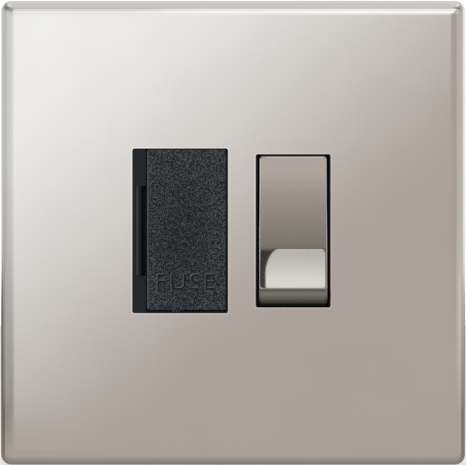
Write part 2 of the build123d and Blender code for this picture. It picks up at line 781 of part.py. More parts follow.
# Earth strap between the two earth terminals
with BuildPart() as earth_strap:
    with BuildSketch(facing(floor_out)):
        with Locations((earth_x, 0)):
            Rectangle(strap_width, 2 * (row_inner + strap_thickness))
    extrude(amount=strap_thickness)
    with BuildSketch(facing(floor_out)):
        with Locations((earth_x, row_inner + strap_thickness / 2), (earth_x, -row_inner - strap_thickness / 2)):
            Rectangle(strap_width, strap_thickness)
    extrude(amount=terminal_thread + terminal_bore)
earth_strap.part.label = "earth_strap"
export_step(earth_strap.part, "parts/earth_strap.step")

# Earth finger: stands on the earth strap and bears on the back of the plate
with BuildPart() as earth_finger:
    with BuildSketch(level(finger_height)):
        with BuildLine():
            Polyline(
                (earth_x + strap_width / 2, strap_out + finger_thickness / 2),
                (finger_x + finger_thickness / 2, strap_out + finger_thickness / 2),
                (finger_x + finger_thickness / 2, frame_out - finger_thickness / 2),
                (finger_x - finger_tip_length, frame_out - finger_thickness / 2),
            )
        trace(line_width=finger_thickness)
    extrude(amount=strap_width / 2, both=True)
earth_finger.part.label = "earth_finger"
export_step(earth_finger.part, "parts/earth_finger.step")

# Cartridge fuse
with BuildPart() as fuse_barrel:
    with BuildSketch(Plane.XY.offset(window_rise)):
        with Locations((carrier_x, fuse_depth)):
            Circle(fuse_barrel_diameter / 2)
    extrude(amount=fuse_length / 2 - fuse_cap_end, both=True)
fuse_barrel.part.label = "fuse_barrel"
export_step(fuse_barrel.part, "parts/fuse_barrel.step")

with BuildPart() as fuse_caps:
    for end in (-1, 1):
        with BuildSketch(Plane.XY.offset(window_rise + end * fuse_length / 2)):
            with Locations((carrier_x, fuse_depth)):
                Circle(fuse_cap_diameter / 2)
        extrude(amount=-end * fuse_cap_length)
        with BuildSketch(Plane.XY.offset(window_rise + end * (fuse_length / 2 - fuse_cap_end))):
            with Locations((carrier_x, fuse_depth)):
                Circle(fuse_barrel_diameter / 2 + fuse_cap_fit)
        extrude(amount=-end * fuse_cap_length, mode=Mode.SUBTRACT)
fuse_caps.part.label = "fuse_caps"
export_step(fuse_caps.part, "parts/fuse_caps.step")

# Fuse clips: tall spring jaws with flared lips
jaw = fuse_cap_diameter / 2 + clip_gap + clip_thickness / 2
for end, height in clip_z.items():
    with BuildPart() as fuse_clip:
        with BuildSketch(level(height)):
            with BuildLine():
                Polyline(
                    (carrier_x - jaw - clip_spread, clip_lip - fuse_depth + fuse_cap_diameter / 2),
                    (carrier_x - jaw, -fuse_depth + fuse_cap_diameter / 2),
                    (carrier_x - jaw, -fuse_depth - fuse_cap_diameter / 2),
                    (carrier_x - jaw - clip_spread, strap_out + clip_thickness / 2),
                    (carrier_x + jaw + clip_spread, strap_out + clip_thickness / 2),
                    (carrier_x + jaw, -fuse_depth - fuse_cap_diameter / 2),
                    (carrier_x + jaw, -fuse_depth + fuse_cap_diameter / 2),
                    (carrier_x + jaw + clip_spread, clip_lip - fuse_depth + fuse_cap_diameter / 2),
                )
            trace(line_width=clip_thickness)
        extrude(amount=clip_width / 2, both=True)
    fuse_clip.part.label = f"{end}_fuse_clip"
    export_step(fuse_clip.part, f"parts/{end}_fuse_clip.step")

# Fuse carrier: a cover with a cradle for the fuse and two captive legs
hook_out = web_back - hook_gap - carrier_travel
leg_outer = carrier_height / 2 - leg_inset
with BuildPart() as fuse_carrier:
    with BuildSketch(facing(carrier_back)):
        with Locations((carrier_x, carrier_z)):
            RectangleRounded(carrier_width, carrier_height, carrier_corner_radius)
    extrude(amount=carrier_cover)
    fillet(fuse_carrier.faces().sort_by(Axis.Y)[0].edges(), carrier_edge_radius)
    with BuildSketch(facing(frame_out + seat_fit)):
        with Locations((carrier_x - nub_offset, carrier_z - (carrier_height + nub_height) / 2)):
            Rectangle(nub_width, nub_height)
    extrude(amount=plate_depth - frame_out - seat_fit)
    with BuildSketch(facing(carrier_back)):
        with Locations((carrier_x, window_rise)):
            Rectangle(fuse_barrel_diameter + 2 * (fuse_cap_fit + cradle_wall), cradle_length)
    extrude(amount=-carrier_back - fuse_depth - cradle_lip)
    with BuildSketch(Plane.XY.offset(window_rise)):
        with Locations((carrier_x, fuse_depth)):
            Circle(fuse_barrel_diameter / 2 + fuse_cap_fit)
        with Locations((carrier_x, fuse_depth + cradle_lip)):
            Rectangle(cradle_mouth, 2 * cradle_lip)
    extrude(amount=cradle_length / 2, both=True, mode=Mode.SUBTRACT)
    with BuildSketch(facing(carrier_back)):
        with Locations((carrier_x, carrier_z)):
            with GridLocations(0, 2 * leg_outer - leg_thickness, 1, 2):
                Rectangle(leg_width, leg_thickness)
    extrude(amount=hook_out - carrier_back - hook_height)
    with BuildSketch(Plane.YZ.offset(carrier_x)):
        for end in (-1, 1):
            with BuildLine():
                Polyline(
                    (-hook_out, carrier_z + end * leg_outer),
                    (-hook_out, carrier_z + end * (carrier_height / 2 + carrier_gap + hook_catch)),
                    (hook_height - hook_out, carrier_z + end * leg_outer),
                    close=True,
                )
            make_face()
    extrude(amount=leg_width / 2, both=True)
fuse_carrier.part.label = "fuse_carrier"
export_step(fuse_carrier.part, "parts/fuse_carrier.step")

# Terminals: brass blocks with a bore for the wire and a tapped hole for the clamping screw
for name, (across, height) in terminal_spots.items():
    with BuildPart() as terminal:
        with BuildSketch(facing(floor_out)):
            with Locations((across, height)):
                Rectangle(terminal_width, terminal_length)
        extrude(amount=terminal_depth)
        chamfer(terminal.edges().filter_by(Axis.Y), terminal_chamfer)
        with BuildSketch(Plane.XY.offset(height)):
            with Locations((across, -bore_out)):
                Circle(terminal_bore / 2)
        extrude(amount=terminal_length / 2, both=True, mode=Mode.SUBTRACT)
        with BuildSketch(facing(floor_out)):
            with Locations((across, height)):
                Circle(clamp_diameter / 2 + clamp_fit)
        extrude(amount=bore_out - floor_out, mode=Mode.SUBTRACT)
    terminal.part.label = f"{name}_terminal"
    export_step(terminal.part, f"parts/{name}_terminal.step")

# Clamping screws of the terminals, backed off to leave the bores free
with BuildPart() as terminal_screws:
    head_out = floor_out - clamp_head_gap
    with BuildSketch(facing(head_out)):
        with Locations(*terminal_spots.values()):
            Circle(clamp_head_diameter / 2)
    extrude(amount=-clamp_head_height)
    with BuildSketch(facing(head_out)):
        with Locations(*terminal_spots.values()):
            Circle(clamp_diameter / 2)
    extrude(amount=clamp_head_gap + terminal_thread - clamp_back_off)
    with BuildSketch(facing(head_out - clamp_head_height)):
        with Locations(*terminal_spots.values()):
            Rectangle(clamp_head_diameter, clamp_slot)
    extrude(amount=clamp_slot_depth, mode=Mode.SUBTRACT)
terminal_screws.part.label = "terminal_screws"
export_step(terminal_screws.part, "parts/terminal_screws.step")
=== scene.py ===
"""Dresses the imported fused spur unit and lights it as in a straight-on studio photograph.

Meshes are drawn in millimetres, in the frame of the CAD: +X right, +Y into the wall, +Z up, front at -Y.
OUT in a name means how far something stands out from the wall or, on the rocker, from its hinge.
Lamps and the room are set out in metres.
"""
import json
from collections import namedtuple
from math import cos, pi, radians, sin, tan

import bmesh
import bpy
from mathutils import Matrix, Vector


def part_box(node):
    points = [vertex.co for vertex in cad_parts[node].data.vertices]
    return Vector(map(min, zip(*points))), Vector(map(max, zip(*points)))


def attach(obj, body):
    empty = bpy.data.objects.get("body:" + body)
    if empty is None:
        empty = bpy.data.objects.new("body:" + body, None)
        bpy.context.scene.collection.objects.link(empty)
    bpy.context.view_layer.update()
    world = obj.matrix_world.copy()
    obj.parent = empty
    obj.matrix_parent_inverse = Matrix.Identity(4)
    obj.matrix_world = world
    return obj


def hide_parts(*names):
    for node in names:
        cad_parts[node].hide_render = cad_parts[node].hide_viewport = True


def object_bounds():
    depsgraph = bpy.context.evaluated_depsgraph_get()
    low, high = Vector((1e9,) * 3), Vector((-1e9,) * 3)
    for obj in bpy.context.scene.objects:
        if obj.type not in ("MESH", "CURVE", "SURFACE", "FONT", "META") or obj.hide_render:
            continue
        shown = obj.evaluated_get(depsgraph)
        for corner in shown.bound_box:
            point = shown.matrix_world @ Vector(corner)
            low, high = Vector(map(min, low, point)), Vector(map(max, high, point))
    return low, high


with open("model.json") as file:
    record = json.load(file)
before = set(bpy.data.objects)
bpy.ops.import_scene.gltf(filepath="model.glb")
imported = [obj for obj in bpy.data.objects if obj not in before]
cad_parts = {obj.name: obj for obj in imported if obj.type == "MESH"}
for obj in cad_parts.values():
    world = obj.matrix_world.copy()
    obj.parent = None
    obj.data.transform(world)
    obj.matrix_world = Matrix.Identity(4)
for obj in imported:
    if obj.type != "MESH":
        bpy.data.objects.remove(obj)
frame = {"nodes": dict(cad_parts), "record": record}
cad_low, cad_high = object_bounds()

MM = 0.001

# Photograph: 466 x 465 pixels, taken square to the plate
PIXELS_WIDE = 466
PIXELS_PER_MM = 5.161
CAMERA_DISTANCE = 2000.0
CAMERA_OFFSET = (-0.012, 0.03)
SENSOR = 36.0

# Drawing, in mm: points this near are welded, or lie on the plane of a cut, or count as being at a place
WELD = 0.002
CUT = 1e-5
NEAR = 0.02
# Angle in degrees past which an edge stays sharp
SHARP = 38.0
# How much of a face's normal points one way before the face counts as turned that way
MOSTLY, NEARLY, WHOLLY = 0.9, 0.97, 0.99
CORNER_STEPS = 8
TURN_STEPS = 40

# Front plate
PLATE_SIDE = 90.0
PLATE_OUT = 4.5
PLATE_SHEET = 1.0
PLATE_CORNER = 2.0
PLATE_SUPPORT = 0.2
PLATE_SHARP = 12.0
EDGE_WIDTH = 2.7
EDGE_DEPTH = 2.7
EDGE_CORNER = 0.8
EDGE_STEPS = 12
PRY_HALF_WIDTH = 4.0
PRY_DEPTH = 1.2
# Its foot is what lies below this height: the lower turned edge, with a little to spare above the sheet
PLATE_FOOT = PLATE_SHEET * 1.1 - PLATE_SIDE / 2
# Its windows: middle in X, width and height; their rims lie within a third of its side from the middle
WINDOWS = {"fuse": (-10.25, 18.5, 31.9), "rocker": (11.65, 14.5, 29.7)}
WINDOW_ZONE = PLATE_SIDE / 3
WINDOW_RISE = 0.35
WINDOW_CORNER = 0.4
WINDOW_ROUND = 0.05
WINDOW_STEPS = 3

# Rocker, in its own frame: the hinge is at the origin and the front faces -Y
HINGE = Vector((11.65, 2.5, 0.35))
ROCKER_TILT = radians(10.0)
ROCKER_WIDTH = 13.46
ROCKER_REACH = 13.04
ROCKER_RIM_OUT = 8.9
ROCKER_VALLEY_OUT = 6.6
ROCKER_BACK_OUT = -0.5
ROCKER_SLOPE = radians(10.0)
ROCKER_DISH = 62.0
ROCKER_DISH_END = 10.9
ROCKER_DISH_STEPS = 28
ROCKER_END_STEPS = 10
ROCKER_DRAFT = radians(1.2)
ROCKER_SKIN = 1.6
ROCKER_HOLLOW_TAPER = 0.8
ROCKER_CORNER = 0.6
ROCKER_CORNER_STEPS = 6
ROCKER_RIM = 0.28
ROCKER_RIM_STEPS = 5
ROCKER_SUPPORT = 0.05
ROCKER_STRAIGHT = 5.8
SLEEVE_X = 3.6
SLEEVE_RADII = (1.45, 2.45)
SLEEVE_BACK_OUT = -5.5
SLEEVE_ROOT = 0.2
SLEEVE_CHAMFER = 0.15
TRUNNION_RADIUS = 1.5
TRUNNION_HALF_LENGTH = 9.0
TRUNNION_CHAMFER = 0.3

# Fuse carrier, and the plain function word on it
CARRIER_OUT = 4.95
CARRIER_CENTRE = (-8.95, 0.0, 0.35)
CARRIER_HALF_WIDTH = 7.7
WORD = "FUSE"
WORD_CENTRE = (-9.14, -9.46)
WORD_SIZE = (11.3, 3.15)
WORD_RAISE = 0.12
WORD_SPACING = 1.18
# Its strokes, in shares of the font's size: their body, their sloping flanks, and how far these are drawn in
WORD_BODY, WORD_FLANK, WORD_DRAWN_IN = 0.005, 0.035, -0.03
WORD_FLANK_STEPS = 3
WORD_FLANK_TURN = 0.15

# Rolled edge of the lever notch in the strip beside the carrier
NOTCH_ROLL_X = (-18.8, -17.45)
NOTCH_ROLL_OUT = (0.5, 4.55)
NOTCH_ROLL_LENGTH = 17.3
NOTCH_ROLL_ROUND = 1.0
NOTCH_ROLL_STEPS = 10
NOTCH_BEAD = 0.36
NOTCH_BEAD_STEPS = 3
NOTCH_RIGHT = -16.72
NOTCH_FLOOR = 0.2

# Screws; a seat is the place along Y that a head lies on
TERMINAL_SCREWS = {"radius": 2.8, "height": 1.5, "slot": 0.9, "cut": 0.75, "shank": 1.75, "seat": 20.4}
HOUSING_SCREWS = {"radius": 2.3, "height": 1.8, "slot": 0.7, "cut": 0.9, "shank": 1.3, "seat": 11.0}
SCREW_ROW = 26.3
TERMINAL_PITCH = 15.25
SHANK_CHAMFER = 0.3
SHANK_ROOT = 0.1
SHANK_STEPS = 24
HEAD_EDGE = 0.1
HEAD_STEPS = 48
CROWN = 0.2
CROWN_STEPS = 3
# Each head was tightened to its own angle, in degrees
FIRST_ANGLE, NEXT_ANGLE = 17.0, 67.0

# Patterns: slow marks in mm, the span that most of a noise falls in, and how far the gloss varies
FLOW_MARK = 9.0
PLATING_CLOUD = 14.0
NOISE_SPAN = (0.3, 0.7)
MOULDING_GLOSS_SPREAD = 0.08
METAL_GLOSS_SPREAD = 0.15
# Sockets of a Mix node that blends two colours
SHARE, FROM_COLOUR, TO_COLOUR, BLENDED = 0, 6, 7, 2


def colour(hex_code):
    """An sRGB hex colour as the linear colour that a shader socket takes."""
    channels = [int(hex_code[i:i + 2], 16) / 255 for i in (1, 3, 5)]
    return [c / 12.92 if c <= 0.04045 else ((c + 0.055) / 1.055) ** 2.4 for c in channels] + [1.0]


def add(tree, kind, sockets=None, **settings):
    """Adds one shader node; a socket takes a value, or a link where it is given another node's output."""
    made = tree.nodes.new("ShaderNode" + kind)
    for name, value in settings.items():
        setattr(made, name, value)
    for name, value in (sockets or {}).items():
        if isinstance(value, bpy.types.NodeSocket):
            tree.links.new(value, made.inputs[name])
        else:
            made.inputs[name].default_value = value
    return made


def start_material(name, **sockets):
    """A new material with its shader and the object's own coordinates in millimetres."""
    material = bpy.data.materials.new(name)
    material.use_nodes = True
    tree = material.node_tree
    shader = tree.nodes["Principled BSDF"]
    for socket, value in sockets.items():
        shader.inputs[socket.replace("_", " ")].default_value = value
    place = add(tree, "TexCoord").outputs["Object"]
    in_mm = add(tree, "VectorMath", {0: place, "Scale": 1 / MM}, operation="SCALE").outputs["Vector"]
    return material, tree, shader, in_mm


def moulding(name, dark, light, grain, roughness, bump, fleck=0.5, shade=0.35, cut=(0.38, 0.66), gloss=0.5):
    """Moulded plastic, with grain and bump in mm. Pits within the cut of the grain and slow flow marks lift the dark
    shade towards the light one, by up to the shares fleck and shade."""
    material, tree, shader, in_mm = start_material(name, Specular_IOR_Level=gloss)
    pits = add(tree, "TexNoise", {"Vector": in_mm, "Scale": 1 / grain, "Detail": 2.0, "Roughness": 0.6})
    flow = add(tree, "TexNoise", {"Vector": in_mm, "Scale": 1 / FLOW_MARK, "Detail": 1.0})
    pit_shade = add(tree, "MapRange", {"Value": pits.outputs["Fac"], "From Min": cut[0], "From Max": cut[1],
                                       "To Min": 0.0, "To Max": fleck})
    flow_shade = add(tree, "MapRange", {"Value": flow.outputs["Fac"], "From Min": NOISE_SPAN[0],
                                        "From Max": NOISE_SPAN[1], "To Min": 0.0, "To Max": shade})
    blend = add(tree, "Math", {0: pit_shade.outputs["Result"], 1: flow_shade.outputs["Result"]}, operation="ADD")
    tint = add(tree, "Mix", {SHARE: blend.outputs[0], FROM_COLOUR: colour(dark), TO_COLOUR: colour(light)},
               data_type="RGBA")
    dull = add(tree, "MapRange", {"Value": pits.outputs["Fac"], "To Min": roughness - MOULDING_GLOSS_SPREAD,
                                  "To Max": roughness + MOULDING_GLOSS_SPREAD})
    raised = add(tree, "Bump", {"Height": pits.outputs["Fac"], "Distance": bump * MM, "Strength": 1.0})
    tree.links.new(tint.outputs[BLENDED], shader.inputs["Base Color"])
    tree.links.new(dull.outputs["Result"], shader.inputs["Roughness"])
    tree.links.new(raised.outputs["Normal"], shader.inputs["Normal"])
    return material


def metal(name, bright, dull, roughness, grain, bump, stretch=(1.0, 1.0, 1.0)):
    """Bare or plated metal, with grain and bump in mm; stretch gives the grain the direction of rolling or cutting."""
    material, tree, shader, in_mm = start_material(name, Metallic=1.0)
    along = add(tree, "Mapping", {"Vector": in_mm, "Scale": stretch})
    lines = add(tree, "TexNoise", {"Vector": along.outputs["Vector"], "Scale": 1 / grain, "Detail": 3.0})
    cloud = add(tree, "TexNoise", {"Vector": in_mm, "Scale": 1 / PLATING_CLOUD, "Detail": 2.0})
    blend = add(tree, "MapRange", {"Value": cloud.outputs["Fac"], "From Min": NOISE_SPAN[0],
                                   "From Max": NOISE_SPAN[1]})
    tint = add(tree, "Mix", {SHARE: blend.outputs["Result"], FROM_COLOUR: colour(bright), TO_COLOUR: colour(dull)},
               data_type="RGBA")
    gloss = add(tree, "MapRange", {"Value": lines.outputs["Fac"], "To Min": roughness * (1 - METAL_GLOSS_SPREAD),
                                   "To Max": roughness * (1 + METAL_GLOSS_SPREAD)})
    raised = add(tree, "Bump", {"Height": lines.outputs["Fac"], "Distance": bump * MM, "Strength": 1.0})
    tree.links.new(tint.outputs[BLENDED], shader.inputs["Base Color"])
    tree.links.new(gloss.outputs["Result"], shader.inputs["Roughness"])
    tree.links.new(raised.outputs["Normal"], shader.inputs["Normal"])
    return material


# Satin nickel on pressed steel sheet: a soft warm mirror that blurs lamps into broad gradients; its real grain is
# too fine to show and is drawn at 0.5 mm
satin_nickel = metal("satin_nickel_plate", "#e9e6e3", "#e6e3e0", roughness=0.09, grain=0.5, bump=0.0001)
# The same nickel made paler on a narrow strip round the rims of the windows: a painted highlight line
rim_highlight_nickel = metal("nickel_rim_painted_highlight", "#fefcfa", "#fcfaf8", roughness=0.09, grain=0.5, bump=0.0001)
# Nickel-plated ABS of the rocker: a warm mirror, much sharper than the plate
plated_rocker = metal("nickel_plated_abs", "#eeece9", "#ebe9e6", roughness=0.015, grain=0.6, bump=0.00002)
# Spark-eroded mould finish on black ABS: pits that sparkle grey, drawn at 0.2 mm so that they show
spark_abs = moulding("spark_textured_black_abs", "#06080b", "#76838c", grain=0.2, roughness=0.6, bump=0.02,
                     fleck=0.9, shade=0.0, cut=(0.47, 0.66), gloss=0.3)
# The same black ABS from a finely textured mould: darker, with a low even sheen
smooth_abs = moulding("fine_textured_black_abs", "#12181f", "#232c36", grain=0.2, roughness=0.45, bump=0.006,
                      fleck=0.3, shade=0.2, gloss=0.3)
# Black ABS on the lower flanks of the lettering, smooth and painted dark as their shade
shaded_flank_abs = moulding("black_abs_painted_shade", "#0c0f11", "#171b1e", grain=0.3, roughness=0.4, bump=0.001,
                        fleck=0.3, shade=0.2, gloss=0.3)
# Black ABS on the upper flanks of the lettering, painted pale as their highlight
lit_flank_abs = moulding("black_abs_painted_highlight", "#6b767c", "#8c979d", grain=0.3, roughness=0.5, bump=0.002)
# Black ABS painted paler along the bead of the notch: a painted highlight
bead_highlight_abs = moulding("black_abs_bead_painted_highlight", "#353e44", "#4d575d", grain=0.3, roughness=0.5, bump=0.002)
# Dark grey urea thermoset: dry, slightly mottled, with faint filler grain
thermoset = moulding("charcoal_thermoset", "#232527", "#34373a", grain=0.5, roughness=0.5, bump=0.01)
# Natural nylon: milky, smooth and a little waxy
nylon = moulding("natural_nylon", "#d6d2c4", "#e6e2d6", grain=0.8, roughness=0.38, bump=0.004)
# Unglazed steatite of the cartridge fuse: chalky white with fine specks
steatite = moulding("fuse_steatite", "#d9d4ca", "#efebe3", grain=0.4, roughness=0.55, bump=0.006)
# Extruded brass with milled faces: yellow, clean, faint cutter lines
brass = metal("milled_brass", "#d9b566", "#cda655", roughness=0.24, grain=0.12, bump=0.0015,
              stretch=(6.0, 1.0, 1.0))
# The same brass near the contacts, browned by arcs and never polished again, and painted darker still as the shade it
# lies in where it shows through the gaps: dull and dark
browned_shaded_brass = metal("arc_browned_brass_painted_shade", "#5e4c2e", "#4c3d24", roughness=0.45, grain=0.12, bump=0.0015,
                      stretch=(6.0, 1.0, 1.0))
# Rolled copper strip: pink, slightly clouded by handling
copper = metal("rolled_copper", "#d89a76", "#c98a66", roughness=0.22, grain=0.15, bump=0.001,
               stretch=(1.0, 1.0, 0.2))
# Phosphor bronze spring strip: browner than brass
bronze = metal("phosphor_bronze_strip", "#cf9d68", "#bd8b58", roughness=0.26, grain=0.15, bump=0.001,
               stretch=(1.0, 1.0, 0.2))
# Bright spring steel strip: grey, with fine rolled lines
spring_steel = metal("bright_spring_steel", "#c3c3c1", "#b2b2b0", roughness=0.25, grain=0.12, bump=0.001,
                     stretch=(1.0, 0.3, 1.0))
# Bright zinc on steel screws: pale, bluish, slightly uneven plating
zinc = metal("zinc_plated_steel", "#d4d7d9", "#c2c6c9", roughness=0.27, grain=0.35, bump=0.002)
# Silver alloy contact rivets: the whitest metal here
silver = metal("silver_contact_alloy", "#efede6", "#e2dfd6", roughness=0.2, grain=0.3, bump=0.001)
# Nickel on the fuse's brass end caps: bright with drawn lines round the cap
nickel_cap = metal("nickel_plated_fuse_cap", "#dcd9d3", "#cfcbc4", roughness=0.18, grain=0.2, bump=0.0008,
                   stretch=(1.0, 1.0, 3.0))


def shade_within(material, share, hex_code):
    """Blends a material's colour towards another by a share that is worked out in its node tree."""
    tree = material.node_tree
    shader = tree.nodes["Principled BSDF"]
    tint = shader.inputs["Base Color"].links[0].from_socket
    blend = add(tree, "Mix", {SHARE: share, FROM_COLOUR: tint, TO_COLOUR: colour(hex_code)}, data_type="RGBA")
    tree.links.new(blend.outputs[BLENDED], shader.inputs["Base Color"])


def place_in_mm(material, origin):
    """The object's own coordinates in millimetres from an origin, in a material's node tree."""
    tree = material.node_tree
    place = add(tree, "TexCoord").outputs["Object"]
    in_mm = add(tree, "VectorMath", {0: place, "Scale": 1 / MM}, operation="SCALE")
    return add(tree, "VectorMath", {0: in_mm.outputs["Vector"], 1: origin}, operation="SUBTRACT").outputs["Vector"]


# Zones of the rocker's plating and of the shade painted on it, each from its faint to its full place in mm, in the
# rocker's own frame
END_WALL_REACH = (12.5, 12.7)
UNDER_RIM_OUT = (8.75, 8.55)
PAINTED_SHADE_OUT = (7.4, 5.5)
LOWER_RIM_SHADE_REACH = (-12.85, -13.0)
LOWER_RIM_SHADE_OUT = (8.2, 8.7)
# Painted shade: the end walls darken inwards into the window, and a painted dark reflection runs along the lower rim;
# the grey-green end-wall tone is a painted reflection
PAINTED_SHADE_DARK = 0.62
LOWER_RIM_PAINTED_DARK = 0.72
END_WALL_REFLECTION_TINT = "#b8bcb4"
PAINTED_SHADE_TINT = "#20280f"
END_WALL_ROUGHNESS = 0.5


def shade_rocker_walls():
    """The end walls are less polished than the face and take a grey-green tone, a painted reflection; painted shade
    darkens them inwards into the window, and a painted dark line runs along the lower rim."""
    tree = plated_rocker.node_tree
    from_hinge = place_in_mm(plated_rocker, HINGE)
    out_way, long_way = (0.0, -cos(ROCKER_TILT), sin(ROCKER_TILT)), (0.0, sin(ROCKER_TILT), cos(ROCKER_TILT))
    outward = add(tree, "VectorMath", {0: from_hinge, 1: out_way}, operation="DOT_PRODUCT").outputs["Value"]
    lengthwise = add(tree, "VectorMath", {0: from_hinge, 1: long_way}, operation="DOT_PRODUCT").outputs["Value"]
    reach = add(tree, "Math", {0: lengthwise}, operation="ABSOLUTE").outputs[0]
    end_wall, under_rim, lower_rim, rim_depth, inwards = (
        add(tree, "MapRange", {"Value": place, "From Min": faint, "From Max": full, "To Max": most}).outputs["Result"]
        for place, (faint, full), most in (
            (reach, END_WALL_REACH, 1.0), (outward, UNDER_RIM_OUT, 1.0), (lengthwise, LOWER_RIM_SHADE_REACH, 1.0),
            (outward, LOWER_RIM_SHADE_OUT, LOWER_RIM_PAINTED_DARK), (outward, PAINTED_SHADE_OUT, PAINTED_SHADE_DARK))
    )
    on_wall = add(tree, "Math", {0: end_wall, 1: under_rim}, operation="MULTIPLY").outputs[0]
    painted_shade = add(tree, "Math", {0: on_wall, 1: inwards}, operation="MULTIPLY").outputs[0]
    painted_rim_shade = add(tree, "Math", {0: lower_rim, 1: rim_depth}, operation="MULTIPLY").outputs[0]
    dark = add(tree, "Math", {0: painted_shade, 1: painted_rim_shade}, operation="MAXIMUM").outputs[0]
    # Paints the grey-green reflection tone on the end walls, then the shade inwards and along the lower rim
    shade_within(plated_rocker, on_wall, END_WALL_REFLECTION_TINT)
    shade_within(plated_rocker, dark, PAINTED_SHADE_TINT)
    gloss = tree.nodes["Principled BSDF"].inputs["Roughness"]
    face_gloss = gloss.links[0].from_socket
    wall_gloss = add(tree, "Math", {0: on_wall, 1: END_WALL_ROUGHNESS, 2: face_gloss}, operation="MULTIPLY_ADD")
    tree.links.new(wall_gloss.outputs[0], gloss)


# Painted shade on the fuse carrier: the patch in its middle that is painted darker, its half sizes, where it is full
# and gone, and its most
SHADED_MIDDLE = (-9.6, -CARRIER_OUT, 0.0)
SHADED_HALF_WIDTH, SHADED_HALF_HEIGHT = 7.0, 14.0
SHADED_SPREAD = (0.3, 1.1)
SHADED_DARK = 0.35
SHADED_TINT = "#06080b"
# Its long front edges, a painted highlight along the left and painted shade along the right: distances in from the
# edge, the most, and the tint
EDGE_FRONT = (0.4, 0.2)
LEFT_EDGE_HIGHLIGHT = (-1, 0.35, 0.1, 0.8, "#737e84")
RIGHT_EDGE_SHADE = (1, 0.3, 0.15, 1.0, "#050607")


def paint_carrier_light_and_shade():
    """Paints shade on the middle of the carrier, a pale highlight along its left front edge, and shade along its right
    front edge.
    """
    tree = spark_abs.node_tree
    from_middle = place_in_mm(spark_abs, SHADED_MIDDLE)
    patch = (1 / SHADED_HALF_WIDTH, 0.0, 1 / SHADED_HALF_HEIGHT)
    spread = add(tree, "VectorMath", {0: from_middle, 1: patch}, operation="MULTIPLY")
    away = add(tree, "VectorMath", {0: spread.outputs["Vector"]}, operation="LENGTH")
    middle_shade = add(tree, "MapRange", {"Value": away.outputs["Value"], "From Min": SHADED_SPREAD[0],
                                    "From Max": SHADED_SPREAD[1], "To Min": SHADED_DARK, "To Max": 0.0})
    # Painted shade: the middle of the carrier is painted darker than its edges
    shade_within(spark_abs, middle_shade.outputs["Result"], SHADED_TINT)
    place = add(tree, "SeparateXYZ", {"Vector": place_in_mm(spark_abs, CARRIER_CENTRE)})
    at_front = add(tree, "MapRange", {"Value": place.outputs["Y"], "From Min": EDGE_FRONT[0] - CARRIER_OUT,
                                      "From Max": EDGE_FRONT[1] - CARRIER_OUT})
    # A pale painted highlight along the left front edge, and painted shade along the right one
    for side, faint, full, most, tint in (LEFT_EDGE_HIGHLIGHT, RIGHT_EDGE_SHADE):
        along = add(tree, "MapRange", {"Value": place.outputs["X"], "From Min": side * (CARRIER_HALF_WIDTH - faint),
                                       "From Max": side * (CARRIER_HALF_WIDTH - full), "To Max": most})
        share = add(tree, "Math", {0: along.outputs["Result"], 1: at_front.outputs["Result"]}, operation="MULTIPLY")
        shade_within(spark_abs, share.outputs[0], tint)


shade_rocker_walls()
paint_carrier_light_and_shade()

finishes = {
    "plate_metal": satin_nickel, "rocker_finish": plated_rocker, "black_moulding": smooth_abs,
    "housing_moulding": thermoset, "spring_steel": spring_steel, "plunger_nylon": nylon, "copper": copper,
    "silver_contact": silver, "brass": brass, "spring_bronze": bronze, "fuse_ceramic": steatite,
    "fuse_cap_metal": nickel_cap, "screw_steel": zinc,
}
for subpart in frame["record"]["subparts"]:
    surface = frame["nodes"][subpart["node"]].data
    surface.materials.clear()
    surface.materials.append(finishes[subpart["material_slot"]])
frame["nodes"]["fuse_carrier"].data.materials[0] = spark_abs
# These take the dark brass: partly arc browning, partly painted shade where they show through the gaps
for node in ("fixed_contact_live", "fixed_contact_neutral", "pivot_bracket_live", "pivot_bracket_neutral"):
    frame["nodes"][node].data.materials[0] = browned_shaded_brass


def settle(drawn, name, body, slot, finish_list, *stands_for, sharp=SHARP):
    """Makes a drawing in millimetres a piece in metres, on its body and in place of its CAD nodes."""
    bmesh.ops.remove_doubles(drawn, verts=drawn.verts[:], dist=WELD)
    bmesh.ops.recalc_face_normals(drawn, faces=drawn.faces[:])
    bmesh.ops.scale(drawn, vec=(MM, MM, MM), verts=drawn.verts[:])
    mesh = bpy.data.meshes.new(name)
    drawn.to_mesh(mesh)
    drawn.free()
    mesh.shade_smooth()
    mesh.set_sharp_from_angle(angle=radians(sharp))
    for finish in finish_list:
        mesh.materials.append(finish)
    piece = bpy.data.objects.new(name, mesh)
    bpy.context.scene.collection.objects.link(piece)
    if stands_for:
        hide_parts(*stands_for)
    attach(piece, body)
    return piece


def bevel(drawn, geom, offset, segments, affect="EDGES"):
    """Rounds edges or corners, and returns the faces that this makes."""
    return bmesh.ops.bevel(drawn, geom=geom, offset=offset, offset_type="OFFSET", segments=segments, profile=0.5,
                           affect=affect, material=-1)["faces"]


def with_edges(faces):
    """Faces with their edges and points, as a cut takes them."""
    edges = [edge for face in faces for edge in face.edges]
    points = [vert for face in faces for vert in face.verts]
    return list(dict.fromkeys([*faces, *edges, *points]))


def rounded_loop(drawn, width, height, corner, out, centre=(0.0, 0.0)):
    """A loop of edges round a rectangle with rounded corners, parallel to the wall."""
    before = set(drawn.edges)
    corners = [
        drawn.verts.new((centre[0] + side * width / 2, -out, centre[1] + end * height / 2))
        for side, end in ((-1, -1), (1, -1), (1, 1), (-1, 1))
    ]
    drawn.faces.new(corners)
    bevel(drawn, corners, corner, CORNER_STEPS, "VERTICES")
    loop = [edge for edge in drawn.edges if edge not in before]
    sheet = list({face for edge in loop for face in edge.link_faces})
    bmesh.ops.delete(drawn, geom=sheet, context="FACES_ONLY")
    return loop


def skin(drawn, loops):
    """Joins each loop to the next with a strip of faces."""
    for first, second in zip(loops, loops[1:]):
        bmesh.ops.bridge_loops(drawn, edges=first + second)


def plate_loop(drawn, inset, corner, out):
    """A loop round the plate, set in from its outline."""
    return rounded_loop(drawn, PLATE_SIDE - 2 * inset, PLATE_SIDE - 2 * inset, corner, out)


